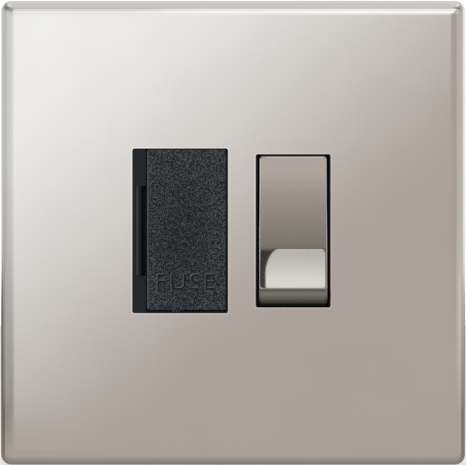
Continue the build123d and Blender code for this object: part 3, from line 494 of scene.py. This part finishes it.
def cut_pry_notch(drawn):
    """Opens the notch for a screwdriver in the plate's lower turned edge."""
    for spot, aim in (((-PRY_HALF_WIDTH, 0, 0), (1, 0, 0)), ((PRY_HALF_WIDTH, 0, 0), (1, 0, 0)),
                      ((0, -PRY_DEPTH, 0), (0, 1, 0))):
        foot = [face for face in drawn.faces if face.calc_center_median().z < PLATE_FOOT]
        bmesh.ops.bisect_plane(drawn, geom=with_edges(foot), plane_co=spot, plane_no=aim, dist=CUT)
    notch = []
    for face in drawn.faces:
        middle = face.calc_center_median()
        if middle.z < PLATE_FOOT and abs(middle.x) < PRY_HALF_WIDTH and middle.y > -PRY_DEPTH:
            notch.append(face)
    bmesh.ops.delete(drawn, geom=notch, context="FACES")
    cut = [edge for edge in drawn.edges if edge.is_boundary]
    walls = []
    for level in (-PLATE_SIDE / 2, PLATE_SHEET - PLATE_SIDE / 2):
        walls += [edge for edge in cut if all(abs(v.co.z - level) < NEAR for v in edge.verts)]
    bmesh.ops.bridge_loops(drawn, edges=walls)


def make_front_plate():
    """The pressed sheet: turned edge, rounded front edge, two windows with rounded rims, and the pry notch."""
    drawn = bmesh.new()
    side_out = PLATE_OUT - EDGE_DEPTH
    turned_edge = (0.0, side_out - PLATE_SUPPORT)
    outer = [plate_loop(drawn, 0.0, PLATE_CORNER, out) for out in turned_edge]
    inner = [plate_loop(drawn, PLATE_SHEET, PLATE_CORNER - PLATE_SHEET, out) for out in turned_edge]
    for step in range(EDGE_STEPS + 1):
        turn = radians(90.0) * step / EDGE_STEPS
        share = 1 - cos(turn)
        corner = PLATE_CORNER - (PLATE_CORNER - EDGE_CORNER) * share
        outer.append(plate_loop(drawn, EDGE_WIDTH * share, corner, side_out + EDGE_DEPTH * sin(turn)))
        inner.append(plate_loop(drawn, PLATE_SHEET + (EDGE_WIDTH - PLATE_SHEET) * share, EDGE_CORNER,
                                side_out + (EDGE_DEPTH - PLATE_SHEET) * sin(turn)))
    skin(drawn, inner[::-1] + outer)

    front, back = list(outer[-1]), list(inner[-1])
    turns = [radians(90.0) * step / WINDOW_STEPS for step in range(WINDOW_STEPS + 1)]
    profile = [(WINDOW_ROUND * (1 - sin(turn)), WINDOW_ROUND * (1 - cos(turn))) for turn in turns]
    for x, width, height in WINDOWS.values():
        rim = [
            rounded_loop(drawn, width + 2 * grow, height + 2 * grow, WINDOW_CORNER + grow, PLATE_OUT - drop,
                         (x, WINDOW_RISE))
            for grow, drop in (*profile, (0.0, PLATE_SHEET))
        ]
        skin(drawn, rim)
        front += rim[0]
        back += rim[-1]
    filled = bmesh.ops.triangle_fill(drawn, edges=front)["geom"]
    face_sheet = [face for face in filled if isinstance(face, bmesh.types.BMFace)]
    strips = bmesh.ops.inset_region(drawn, faces=face_sheet, thickness=PLATE_SUPPORT, use_even_offset=True)["faces"]
    # The strips near the windows take the paler nickel, a painted highlight round their rims
    for face in strips:
        if face.calc_center_median().length < WINDOW_ZONE:
            face.material_index = 1
    bmesh.ops.triangle_fill(drawn, edges=back)
    cut_pry_notch(drawn)
    return settle(drawn, "plate_skin", "faceplate", "plate_metal", [satin_nickel, rim_highlight_nickel], "front_plate",
                  sharp=PLATE_SHARP)


def turned(drawn, outline, spot, turn=None, steps=TURN_STEPS):
    """Spins a closed outline of (radius, height) about its height, then turns it and puts it at a spot."""
    before = set(drawn.verts)
    points = [drawn.verts.new((radius, 0.0, height)) for radius, height in outline]
    edges = [drawn.edges.new((a, b)) for a, b in zip(points, points[1:] + points[:1])]
    bmesh.ops.spin(drawn, geom=points + edges, cent=(0, 0, 0), axis=(0, 0, 1), angle=2 * pi, steps=steps,
                   use_merge=True)
    made = [vert for vert in drawn.verts if vert not in before]
    if turn:
        bmesh.ops.transform(drawn, matrix=turn, verts=made)
    bmesh.ops.translate(drawn, vec=spot, verts=made)


def draw_rocker_block(drawn, reach):
    """The rocker's side view, with its valley dished and its ends swept about the hinge, drawn out to its width."""
    half = ROCKER_WIDTH / 2
    top, valley, foot = (
        drawn.verts.new((-half, -out, up))
        for out, up in ((ROCKER_RIM_OUT, ROCKER_REACH), (ROCKER_VALLEY_OUT, 0.0), (ROCKER_RIM_OUT, -ROCKER_REACH))
    )
    drawn.edges.new((top, valley))
    drawn.edges.new((valley, foot))
    sweep = Vector((ROCKER_RIM_OUT, ROCKER_REACH)).angle(
        Vector((ROCKER_BACK_OUT, (reach ** 2 - ROCKER_BACK_OUT ** 2) ** 0.5)))
    ends = []
    for tip, way in ((top, -1), (foot, 1)):
        spun = bmesh.ops.spin(drawn, geom=[tip], cent=(-half, 0, 0), axis=(1, 0, 0), angle=way * sweep,
                              steps=ROCKER_END_STEPS)
        ends += [item for item in spun["geom_last"] if isinstance(item, bmesh.types.BMVert)]
    drawn.edges.new(ends)
    bmesh.ops.contextual_create(drawn, geom=drawn.edges[:])
    bevel(drawn, [valley], ROCKER_DISH * tan(ROCKER_SLOPE), ROCKER_DISH_STEPS, "VERTICES")
    grown = bmesh.ops.extrude_face_region(drawn, geom=drawn.faces[:])["geom"]
    bmesh.ops.translate(drawn, vec=(ROCKER_WIDTH, 0, 0),
                        verts=[item for item in grown if isinstance(item, bmesh.types.BMVert)])
    bmesh.ops.recalc_face_normals(drawn, faces=drawn.faces[:])


def hollow_and_draft(drawn):
    """Hollows the rocker from behind and draws its sides in towards the front."""
    back = [face for face in drawn.faces if face.normal.y > WHOLLY]
    bmesh.ops.inset_region(drawn, faces=back, thickness=ROCKER_SKIN, use_even_offset=True)
    hollow = bmesh.ops.extrude_face_region(drawn, geom=back)["geom"]
    bmesh.ops.delete(drawn, geom=back, context="FACES_ONLY")
    depth = ROCKER_VALLEY_OUT - ROCKER_SKIN - ROCKER_BACK_OUT
    floor = [item for item in hollow if isinstance(item, bmesh.types.BMVert)]
    bmesh.ops.translate(drawn, vec=(0, -depth, 0), verts=floor)
    for vert in floor:
        vert.co.z *= ROCKER_HOLLOW_TAPER
    for vert in drawn.verts:
        vert.co.x *= 1 + vert.co.y * tan(ROCKER_DRAFT) / (ROCKER_WIDTH / 2)


def round_rocker(drawn, reach):
    """Rounds the rocker's corners and its front rim, and adds the loops that keep its reflections straight."""
    drawn.normal_update()
    corners = []
    for edge in drawn.edges:
        flank, end = sorted((face.normal for face in edge.link_faces), key=lambda normal: -abs(normal.x))
        on_end = all(abs(Vector((v.co.y, v.co.z)).length - reach) < NEAR for v in edge.verts)
        if abs(flank.x) > MOSTLY and abs(end.x) < 1 - MOSTLY and on_end:
            corners.append(edge)
    bevel(drawn, corners, ROCKER_CORNER, ROCKER_CORNER_STEPS)
    drawn.normal_update()
    rim = []
    for edge in drawn.edges:
        first, second = (face.normal for face in edge.link_faces)
        facing_front = (first.y < -MOSTLY) != (second.y < -MOSTLY)
        if facing_front and min(-v.co.y for v in edge.verts) > ROCKER_VALLEY_OUT:
            rim.append(edge)
    rounded = set(bevel(drawn, rim, ROCKER_RIM, ROCKER_RIM_STEPS))

    for end in (-1, 1):
        drawn.normal_update()
        front = [face for face in drawn.faces if face.normal.y < -NEARLY and face not in rounded]
        bmesh.ops.bisect_plane(drawn, geom=with_edges(front), plane_co=(0, 0, end * ROCKER_DISH_END),
                               plane_no=(0, 0, 1), dist=CUT)
    drawn.normal_update()
    front = [face for face in drawn.faces if face.normal.y < -NEARLY and face not in rounded]
    bmesh.ops.inset_region(drawn, faces=front, thickness=ROCKER_SUPPORT, use_even_offset=True)
    for side in (-1, 1):
        bmesh.ops.bisect_plane(drawn, geom=with_edges(drawn.faces), plane_co=(side * ROCKER_STRAIGHT, 0, 0),
                               plane_no=(1, 0, 0), dist=CUT)


def add_sleeves_and_trunnions(drawn):
    """Sleeves for the two plungers behind the rocker, and the pins that it turns on."""
    lie = Matrix.Rotation(radians(90.0), 4, "X")
    bore, wall = SLEEVE_RADII
    lip = SLEEVE_BACK_OUT + SLEEVE_CHAMFER
    sleeve_top = ROCKER_VALLEY_OUT - ROCKER_SKIN + SLEEVE_ROOT
    sleeve = [(bore, lip), (bore + SLEEVE_CHAMFER, SLEEVE_BACK_OUT), (wall - SLEEVE_CHAMFER, SLEEVE_BACK_OUT),
              (wall, lip), (wall, sleeve_top), (bore, sleeve_top)]
    for side in (-1, 1):
        turned(drawn, sleeve, (side * SLEEVE_X, 0, 0), lie)
    root = ROCKER_WIDTH / 2 - ROCKER_SKIN
    pin = [(0.0, root), (TRUNNION_RADIUS, root), (TRUNNION_RADIUS, TRUNNION_HALF_LENGTH - TRUNNION_CHAMFER),
           (TRUNNION_RADIUS - TRUNNION_CHAMFER, TRUNNION_HALF_LENGTH), (0.0, TRUNNION_HALF_LENGTH)]
    for side in (-1, 1):
        turned(drawn, pin, (0, 0, 0), Matrix.Rotation(side * radians(90.0), 4, "Y"))


def make_rocker():
    """The dished rocker: hollow behind, drafted sides, rounded rim, sleeves for its plungers, and trunnions."""
    drawn = bmesh.new()
    reach = Vector((ROCKER_RIM_OUT, ROCKER_REACH)).length
    draw_rocker_block(drawn, reach)
    hollow_and_draft(drawn)
    round_rocker(drawn, reach)
    plated = set(drawn.faces)
    add_sleeves_and_trunnions(drawn)
    for face in drawn.faces:
        if face not in plated:
            face.material_index = 1
    stance = Matrix.Translation(HINGE) @ Matrix.Rotation(-ROCKER_TILT, 4, "X")
    bmesh.ops.transform(drawn, matrix=stance, verts=drawn.verts[:])
    return settle(drawn, "rocker_shell", "switch_rocker", "rocker_finish", [plated_rocker, smooth_abs], "rocker")


def add_cheek(drawn, sizes, stance):
    """Half of a screw head's crown, on one side of the slot."""
    before = set(drawn.verts)
    radius, height, cut = sizes["radius"], sizes["height"], sizes["cut"]
    bmesh.ops.create_cone(drawn, cap_ends=True, cap_tris=False, segments=HEAD_STEPS, radius1=radius, radius2=radius,
                          depth=cut, matrix=Matrix.Translation((0, 0, height - cut / 2)))
    crown = [face for face in drawn.faces if not before.intersection(face.verts)]
    split = bmesh.ops.bisect_plane(drawn, geom=with_edges(crown), plane_co=(sizes["slot"] / 2, 0, 0),
                                   plane_no=(1, 0, 0), dist=CUT, clear_inner=True)
    seam = [item for item in split["geom_cut"] if isinstance(item, bmesh.types.BMEdge)]
    bmesh.ops.contextual_create(drawn, geom=seam)
    cheek = [vert for vert in drawn.verts if vert not in before]
    edges = dict.fromkeys(edge for vert in cheek for edge in vert.link_edges)
    bevel(drawn, [edge for edge in edges if all(abs(v.co.z - height) < NEAR for v in edge.verts)], CROWN, CROWN_STEPS)
    bmesh.ops.transform(drawn, matrix=stance, verts=[vert for vert in drawn.verts if vert not in before])


def make_screws(name, sizes, places, node):
    """Slotted pan heads and plain shanks; each head was tightened to its own angle."""
    drawn = bmesh.new()
    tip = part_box(node)[0].y / MM - sizes["seat"]
    lie = Matrix.Rotation(radians(-90.0), 4, "X")
    radius, slot_floor = sizes["radius"], sizes["height"] - sizes["cut"]
    shank = [(0.0, tip), (sizes["shank"] - SHANK_CHAMFER, tip), (sizes["shank"], tip + SHANK_CHAMFER),
             (sizes["shank"], SHANK_ROOT), (0.0, SHANK_ROOT)]
    under = [(0.0, 0.0), (radius - HEAD_EDGE, 0.0), (radius, HEAD_EDGE), (radius, slot_floor), (0.0, slot_floor)]
    for number, (x, z) in enumerate(places):
        seat = (x, sizes["seat"], z)
        turned(drawn, shank, seat, lie, SHANK_STEPS)
        turned(drawn, under, seat, lie, HEAD_STEPS)
        angle = radians(FIRST_ANGLE + NEXT_ANGLE * number)
        for half_turn in (0.0, pi):
            spin = Matrix.Rotation(angle + half_turn, 4, "Z")
            add_cheek(drawn, sizes, Matrix.Translation(seat) @ lie @ spin)
    return settle(drawn, name, "base", "screw_steel", [zinc], node)


def make_word():
    """Raised plain lettering near the foot of the fuse carrier, as its mould leaves it."""
    text = bpy.data.curves.new("carrier_word", "FONT")
    text.body = WORD
    text.align_x, text.align_y = "CENTER", "CENTER"
    text.space_character = WORD_SPACING
    text.extrude = WORD_BODY
    text.bevel_depth = WORD_FLANK
    text.offset = WORD_DRAWN_IN
    text.bevel_resolution = WORD_FLANK_STEPS
    written = bpy.data.objects.new("carrier_word", text)
    bpy.context.scene.collection.objects.link(written)
    bpy.context.view_layer.update()
    mesh = bpy.data.meshes.new_from_object(written.evaluated_get(bpy.context.evaluated_depsgraph_get()))
    bpy.data.objects.remove(written)
    drawn = bmesh.new()
    drawn.from_mesh(mesh)
    lows = [min(v.co[axis] for v in drawn.verts) for axis in range(3)]
    highs = [max(v.co[axis] for v in drawn.verts) for axis in range(3)]
    bmesh.ops.translate(drawn, vec=[-(low + high) / 2 for low, high in zip(lows, highs)], verts=drawn.verts[:])
    spans = (*WORD_SIZE, 2 * WORD_RAISE)
    bmesh.ops.scale(drawn, vec=[span / (high - low) for span, low, high in zip(spans, lows, highs)],
                    verts=drawn.verts[:])
    spot = (WORD_CENTRE[0], -CARRIER_OUT, WORD_CENTRE[1])
    stance = Matrix.Translation(spot) @ Matrix.Rotation(radians(90.0), 4, "X")
    bmesh.ops.transform(drawn, matrix=stance, verts=drawn.verts[:])
    bmesh.ops.recalc_face_normals(drawn, faces=drawn.faces[:])
    # Flanks turned up and to the left take the pale painted highlight, those turned down and to the right the dark
    # painted shade
    for face in drawn.faces:
        up_left = face.normal.z - face.normal.x
        if abs(up_left) > WORD_FLANK_TURN:
            face.material_index = 1 if up_left > 0 else 2
    return settle(drawn, "carrier_lettering", "fuse_drawer", "black_moulding", [smooth_abs, lit_flank_abs, shaded_flank_abs])


def make_notch_roll():
    """The rolled-over edge of the strip along the lever notch, its bead with a painted highlight, and a dark floor
    across the notch that stands in for the shade deep inside it.
    """
    drawn = bmesh.new()
    (left, right), (back, front), length = NOTCH_ROLL_X, NOTCH_ROLL_OUT, NOTCH_ROLL_LENGTH
    bmesh.ops.create_cube(drawn, size=1.0)
    bmesh.ops.scale(drawn, vec=(right - left, front - back, length), verts=drawn.verts[:])
    bmesh.ops.translate(drawn, vec=((left + right) / 2, -(front + back) / 2, WINDOW_RISE), verts=drawn.verts[:])
    # The bead of the notch takes the paler ABS, a painted highlight
    for x, offset, steps, finish in ((right, NOTCH_ROLL_ROUND, NOTCH_ROLL_STEPS, 0),
                                     (left, NOTCH_BEAD, NOTCH_BEAD_STEPS, 1)):
        lip = [edge for edge in drawn.edges
               if all(abs(v.co.x - x) < NEAR and abs(v.co.y + front) < NEAR for v in edge.verts)]
        for face in bevel(drawn, lip, offset, steps):
            face.material_index = finish
    # The floor is a dark sheet that stands in for the shade deep in the notch
    spot = ((left + NOTCH_RIGHT) / 2, -back, WINDOW_RISE)
    spans = (NOTCH_RIGHT - left, NOTCH_FLOOR, length, 1.0)
    bmesh.ops.create_cube(drawn, size=1.0, matrix=Matrix.Translation(spot) @ Matrix.Diagonal(spans))
    return settle(drawn, "notch_roll", "base", "black_moulding", [smooth_abs, bead_highlight_abs])


make_front_plate()
make_notch_roll()
rocker_shell = make_rocker()
make_screws("terminal_screw_heads", TERMINAL_SCREWS,
            [(x, z) for z in (SCREW_ROW, -SCREW_ROW) for x in (-TERMINAL_PITCH, 0.0, TERMINAL_PITCH)],
            "terminal_screws")
make_screws("housing_screw_heads", HOUSING_SCREWS,
            [(x, z) for z in (SCREW_ROW, -SCREW_ROW) for x in (-TERMINAL_PITCH / 2, TERMINAL_PITCH / 2)],
            "housing_screws")
make_word()


# Camera, square to the plate
lens = bpy.data.cameras.new("front_camera")
lens.sensor_width = SENSOR
lens.lens = SENSOR * CAMERA_DISTANCE / (PIXELS_WIDE / PIXELS_PER_MM)
camera = bpy.data.objects.new("front_camera", lens)
camera.location = Vector((CAMERA_OFFSET[0], -CAMERA_DISTANCE - PLATE_OUT, CAMERA_OFFSET[1])) * MM
camera.rotation_euler = (radians(90.0), 0.0, 0.0)
bpy.context.scene.collection.objects.link(camera)
bpy.context.scene.camera = camera


def lamp_panel(name, spot, aim, size, radiance, tint):
    """A flat studio lamp, in metres, facing a point; radiance is what a mirror would show of it."""
    light = bpy.data.lights.new(name, "AREA")
    light.shape = "RECTANGLE"
    light.size, light.size_y = size
    light.energy = radiance * pi * size[0] * size[1]
    light.color = tint
    lamp = bpy.data.objects.new(name, light)
    way = (Vector(aim) - Vector(spot)).to_track_quat("-Z", "Y").to_matrix().to_4x4()
    lamp.matrix_world = Matrix.Translation(spot) @ way
    lamp.visible_camera = False
    bpy.context.scene.collection.objects.link(lamp)
    return lamp


# How a lamp fades across its face: the slope, the places along it where the lamp is full and faint, the share left
# there, and a hold: places short of it count as if they were on it
FAR = -10.0
Fade = namedtuple("Fade", "slope full faint rest hold", defaults=[(FAR, FAR, FAR)])


def fade_across(light, *fades):
    """Lets a lamp fade across its face, by all fades together."""
    light.use_nodes = True
    tree = light.node_tree
    spot = add(tree, "NewGeometry").outputs["Position"]
    level = 1.0
    for fade in fades:
        held = add(tree, "VectorMath", {0: spot, 1: fade.hold}, operation="MAXIMUM")
        along = add(tree, "VectorMath", {0: held.outputs["Vector"], 1: fade.slope}, operation="DOT_PRODUCT")
        share = add(tree, "MapRange", {"Value": along.outputs["Value"], "From Min": fade.full,
                                       "From Max": fade.faint, "To Min": 1.0, "To Max": fade.rest})
        level = add(tree, "Math", {0: level, 1: share.outputs["Result"]}, operation="MULTIPLY").outputs[0]
    tree.links.new(level, tree.nodes["Emission"].inputs["Strength"])


def flag(lamp, state, *pieces):
    """Keeps a lamp off some pieces, or gives it to them alone, as a flag on a studio stand does."""
    group = bpy.data.collections.new(lamp.name + "_flag")
    for piece in pieces:
        group.objects.link(piece)
    for entry in group.collection_objects:
        entry.light_linking.link_state = state
    lamp.light_linking.receiver_collection = group


LEFTWARD, UPWARD, DOWNWARD, FORWARD = (-1.0, 0.0, 0.0), (0.0, 0.0, 1.0), (0.0, 0.0, -1.0), (0.0, -1.0, 0.0)
WHITE = (1.0, 1.0, 1.0)
# The key is bluish, because the warm walls behind it add to what the metal mirrors
KEY_TINT = (0.82, 0.92, 0.985)
LEFT_LEVEL = 0.44

# Key screen in front and at the left; it fades along a slant, which gives the plate its slanting gradient
slant = Fade((0.656, 0.0, -0.755), full=-0.052, faint=0.0145, rest=0.0, hold=(-0.056, FAR, FAR))
key_front = lamp_panel("key_front", spot=(0.175, -0.5, 0.08), aim=(0.175, 0.0, 0.08), size=(0.85, 0.28),
                       radiance=0.695, tint=KEY_TINT)
# Its upper part, which only the top edge mirrors, is neutral
key_upper = lamp_panel("key_upper", spot=(0.175, -0.5, 0.41), aim=(0.175, 0.0, 0.41), size=(0.85, 0.38),
                       radiance=0.67, tint=(1.0, 0.985, 0.975))
for lamp in (key_front, key_upper):
    fade_across(lamp.data, slant, Fade(LEFTWARD, full=0.07, faint=0.25, rest=0.7))
key_left = lamp_panel("key_left", spot=(-0.25, -0.2, 0.27), aim=(0.0, -0.2, 0.27), size=(0.6, 0.66),
                      radiance=LEFT_LEVEL, tint=KEY_TINT)
fade_across(key_left.data, slant, Fade(UPWARD, full=0.1, faint=0.16, rest=0.5))
# Softbox over the top edge, which shows there as a bright band, brighter to the right
top_softbox = lamp_panel("top_softbox", spot=(0.0, -0.2165, 0.182), aim=(0.0, 0.622, -0.363), size=(0.9, 0.175),
                         radiance=0.32, tint=WHITE)
fade_across(top_softbox.data, Fade(LEFTWARD, full=0.015, faint=0.02, rest=0.5))
# Screen at the right, which lifts the right edge
right_screen = lamp_panel("right_screen", spot=(0.25, -0.03, 0.2), aim=(0.0, -0.03, 0.2), size=(0.54, 0.52),
                          radiance=0.36, tint=(1.0, 0.98, 0.96))
fade_across(right_screen.data, Fade(DOWNWARD, full=0.01, faint=0.05, rest=0.0),
            Fade(FORWARD, full=0.0, faint=0.3, rest=0.0))
# Low screen at the left, which draws the upper part of the rocker's left rim
rim_screen = lamp_panel("rim_screen", spot=(-0.25, -0.2, 0.02), aim=(0.0, -0.2, 0.02), size=(0.6, 0.18),
                        radiance=LEFT_LEVEL, tint=KEY_TINT)
# Bar over the camera, which only the rocker's top rim mirrors
rim_bar = lamp_panel("rim_bar", spot=(0.0115, -0.19, 0.21), aim=(0.0115, -0.007, -0.006), size=(0.2, 0.07),
                     radiance=1.05, tint=WHITE)
for lamp in (rim_screen, rim_bar):
    flag(lamp, "INCLUDE", rocker_shell)
for lamp in (key_front, key_upper, key_left, top_softbox):
    flag(lamp, "EXCLUDE", rocker_shell)

# Room: what is seen along a direction, whose Z is its climb and whose Y is its depth, -1 in front of the plate.
# A span runs from where something begins to where it is full.
WALL_LOW, WALL_HIGH, WALL_SPAN = (0.5, 0.452, 0.42, 1.0), (0.195, 0.18, 0.157, 1.0), (0.055, 0.5)
SIDE_SHARE, SIDE_SPAN = 0.44, (-1.0, 0.1)
GLOOM, GLOOM_SPAN = (0.048, 0.044, 0.041, 1.0), (0.444, 0.464)
CEILING, CEILING_SPAN = (0.735, 0.72, 0.71, 1.0), (0.7, 0.85)
BEHIND, BEHIND_SPAN = (1.0, 1.0, 1.0, 1.0), (0.2, 1.0)


def make_room():
    """Studio surroundings: pale in front and dimmer to the sides, darker with height, then a pale ceiling; white
    behind the object, as the camera sees it."""
    world = bpy.data.worlds.new("studio")
    bpy.context.scene.world = world
    world.use_nodes = True
    room = world.node_tree
    way = add(room, "SeparateXYZ", {"Vector": add(room, "TexCoord").outputs["Generated"]})
    climb, gloom, lift, behind = (
        add(room, "MapRange", {"Value": way.outputs[axis], "From Min": span[0], "From Max": span[1]}).outputs["Result"]
        for axis, span in (("Z", WALL_SPAN), ("Z", GLOOM_SPAN), ("Z", CEILING_SPAN), ("Y", BEHIND_SPAN))
    )
    ahead = add(room, "MapRange", {"Value": way.outputs["Y"], "From Min": SIDE_SPAN[0], "From Max": SIDE_SPAN[1],
                                   "To Min": 1.0, "To Max": SIDE_SHARE})
    walls = add(room, "Mix", {SHARE: climb, FROM_COLOUR: WALL_LOW, TO_COLOUR: WALL_HIGH}, data_type="RGBA")
    sides = add(room, "VectorMath", {0: walls.outputs[BLENDED], "Scale": ahead.outputs["Result"]}, operation="SCALE")
    upper = add(room, "Mix", {SHARE: gloom, FROM_COLOUR: sides.outputs["Vector"], TO_COLOUR: GLOOM},
                data_type="RGBA")
    roof = add(room, "Mix", {SHARE: lift, FROM_COLOUR: upper.outputs[BLENDED], TO_COLOUR: CEILING}, data_type="RGBA")
    path = add(room, "LightPath").outputs
    shiny = add(room, "Math", {0: path["Is Glossy Ray"], 1: path["Is Transmission Ray"]}, operation="ADD")
    mirrored = add(room, "Math", {0: shiny.outputs[0], 1: behind}, operation="MULTIPLY")
    seen = add(room, "Math", {0: mirrored.outputs[0], 1: path["Is Camera Ray"]}, operation="ADD", use_clamp=True)
    sight = add(room, "Mix", {SHARE: seen.outputs[0], FROM_COLOUR: roof.outputs[BLENDED], TO_COLOUR: BEHIND},
                data_type="RGBA")
    room.links.new(sight.outputs[BLENDED], room.nodes["Background"].inputs["Color"])


# Softbox for the rocker's lower half, in mm; its corners are (side, end) with the left and the foot at 0, and they
# are rounded while its width is stretched, so that they are taller than wide
SOFTBOX_X = (7.2, 20.65)
SOFTBOX_HEIGHT = 84.0
SOFTBOX_CORNERS = {(0, 0): 40.0, (1, 0): 14.0, (1, 1): 4.0, (0, 1): 4.0}
SOFTBOX_STRETCH = 14.0
SOFTBOX_LEAN = radians(-35.0)
SOFTBOX_FOOT = (0.0, -260.0, 125.6)
# Its glow rises between two heights, in metres
SOFTBOX_GLOW, SOFTBOX_GLOW_HEIGHT = (0.5, 0.77), (0.127, 0.175)
SOFTBOX_TINT = (1.0, 0.985, 0.96, 1.0)


def make_rocker_softbox(rocker):
    """A small softbox that only the rocker mirrors; it is brighter higher up and lets the room show through."""
    drawn = bmesh.new()
    tips = [drawn.verts.new((SOFTBOX_X[side] * SOFTBOX_STRETCH, 0.0, end * SOFTBOX_HEIGHT))
            for side, end in SOFTBOX_CORNERS]
    drawn.faces.new(tips)
    for tip, rounding in zip(tips, SOFTBOX_CORNERS.values()):
        bevel(drawn, [tip], rounding, CORNER_STEPS, "VERTICES")
    bmesh.ops.scale(drawn, vec=(1 / SOFTBOX_STRETCH, 1.0, 1.0), verts=drawn.verts[:])
    bmesh.ops.rotate(drawn, cent=(0, 0, 0), matrix=Matrix.Rotation(SOFTBOX_LEAN, 3, "X"), verts=drawn.verts[:])
    bmesh.ops.translate(drawn, vec=SOFTBOX_FOOT, verts=drawn.verts[:])
    bmesh.ops.scale(drawn, vec=(MM, MM, MM), verts=drawn.verts[:])
    mesh = bpy.data.meshes.new("rocker_softbox")
    drawn.to_mesh(mesh)
    drawn.free()
    cloth = bpy.data.materials.new("softbox_cloth")
    cloth.use_nodes = True
    tree = cloth.node_tree
    place = add(tree, "SeparateXYZ", {"Vector": add(tree, "TexCoord").outputs["Object"]})
    glow = add(tree, "MapRange", {"Value": place.outputs["Z"], "From Min": SOFTBOX_GLOW_HEIGHT[0],
                                  "From Max": SOFTBOX_GLOW_HEIGHT[1], "To Min": SOFTBOX_GLOW[0],
                                  "To Max": SOFTBOX_GLOW[1]})
    shine = add(tree, "Emission", {"Color": SOFTBOX_TINT, "Strength": glow.outputs["Result"]})
    sheer = add(tree, "AddShader", {0: shine.outputs["Emission"], 1: add(tree, "BsdfTransparent").outputs["BSDF"]})
    tree.links.new(sheer.outputs["Shader"], tree.nodes["Material Output"].inputs["Surface"])
    mesh.materials.append(cloth)
    softbox = bpy.data.objects.new("rocker_softbox", mesh)
    softbox.visible_camera = False
    bpy.context.scene.collection.objects.link(softbox)
    flag(softbox, "INCLUDE", rocker)


# Floor under the plate's lower edge: half its side and its drop in metres, the grain of its paint in mm
FLOOR_HALF_SIDE = 3.0
FLOOR_DROP = 0.0001
FLOOR_GRAIN = 6.0
FLOOR_WHITE = 0.5
FLOOR_WHITE_TINT = (1.0, 0.98, 0.96, 1.0)
# As the metal mirrors it, the floor glows with a painted reflection: dimmer out to the left, and darker close to the
# plate as painted shadow, at places in mm
FLOOR_PAINTED_REFLECTION_TINT = (1.0, 0.91, 0.85, 1.0)
FLOOR_LEFT, FLOOR_LEFT_SHARE = (-60.0, -250.0), (1.0, 0.6)
FLOOR_SHADOW_NEAR, FLOOR_SHADOW_LEVEL = (-6.0, -2.0), (0.49, 0.25)


def make_floor():
    """A matt pale floor that keeps the object's shadow; to mirrored rays it glows with a painted reflection, pale in
    front of the plate, dim out to the left and darker close to the plate as painted shadow."""
    drawn = bmesh.new()
    bmesh.ops.create_grid(drawn, x_segments=1, y_segments=1, size=FLOOR_HALF_SIDE,
                          matrix=Matrix.Translation((0, 0, cad_low.z - FLOOR_DROP)))
    mesh = bpy.data.meshes.new("studio_floor")
    drawn.to_mesh(mesh)
    drawn.free()
    # Matt paint: pale, with a faint roller grain
    paint, tree, shader, in_mm = start_material("matt_floor_paint", Roughness=0.8, Emission_Color=FLOOR_WHITE_TINT)
    grain = add(tree, "TexNoise", {"Vector": in_mm, "Scale": 1 / FLOOR_GRAIN, "Detail": 2.0})
    tint = add(tree, "Mix", {SHARE: grain.outputs["Fac"], FROM_COLOUR: colour("#d6d4d1"),
                             TO_COLOUR: colour("#dcdad7")}, data_type="RGBA")
    tree.links.new(tint.outputs[BLENDED], shader.inputs["Base Color"])
    path = add(tree, "LightPath").outputs
    white = add(tree, "Math", {0: path["Is Camera Ray"], 1: FLOOR_WHITE}, operation="MULTIPLY")
    tree.links.new(white.outputs[0], shader.inputs["Emission Strength"])
    mirrored = add(tree, "Math", {0: path["Is Glossy Ray"], 1: path["Is Transmission Ray"]}, operation="MAXIMUM")
    spot = add(tree, "SeparateXYZ", {"Vector": in_mm})
    left, near = (
        add(tree, "MapRange", {"Value": spot.outputs[axis], "From Min": span[0], "From Max": span[1],
                               "To Min": level[0], "To Max": level[1]}).outputs["Result"]
        for axis, span, level in (("X", FLOOR_LEFT, FLOOR_LEFT_SHARE), ("Y", FLOOR_SHADOW_NEAR, FLOOR_SHADOW_LEVEL))
    )
    # To mirrored rays the floor glows with a painted reflection, dimmer to the left and with painted shadow near the
    # plate
    level = add(tree, "Math", {0: left, 1: near}, operation="MULTIPLY")
    mirror = add(tree, "Emission", {"Color": FLOOR_PAINTED_REFLECTION_TINT, "Strength": level.outputs[0]})
    mixed = add(tree, "MixShader", {0: mirrored.outputs[0], 1: shader.outputs["BSDF"], 2: mirror.outputs["Emission"]})
    tree.links.new(mixed.outputs["Shader"], tree.nodes["Material Output"].inputs["Surface"])
    mesh.materials.append(paint)
    floor = bpy.data.objects.new("studio_floor", mesh)
    bpy.context.scene.collection.objects.link(floor)


make_room()
make_rocker_softbox(rocker_shell)
make_floor()

bpy.context.scene.view_settings.view_transform = "Standard"
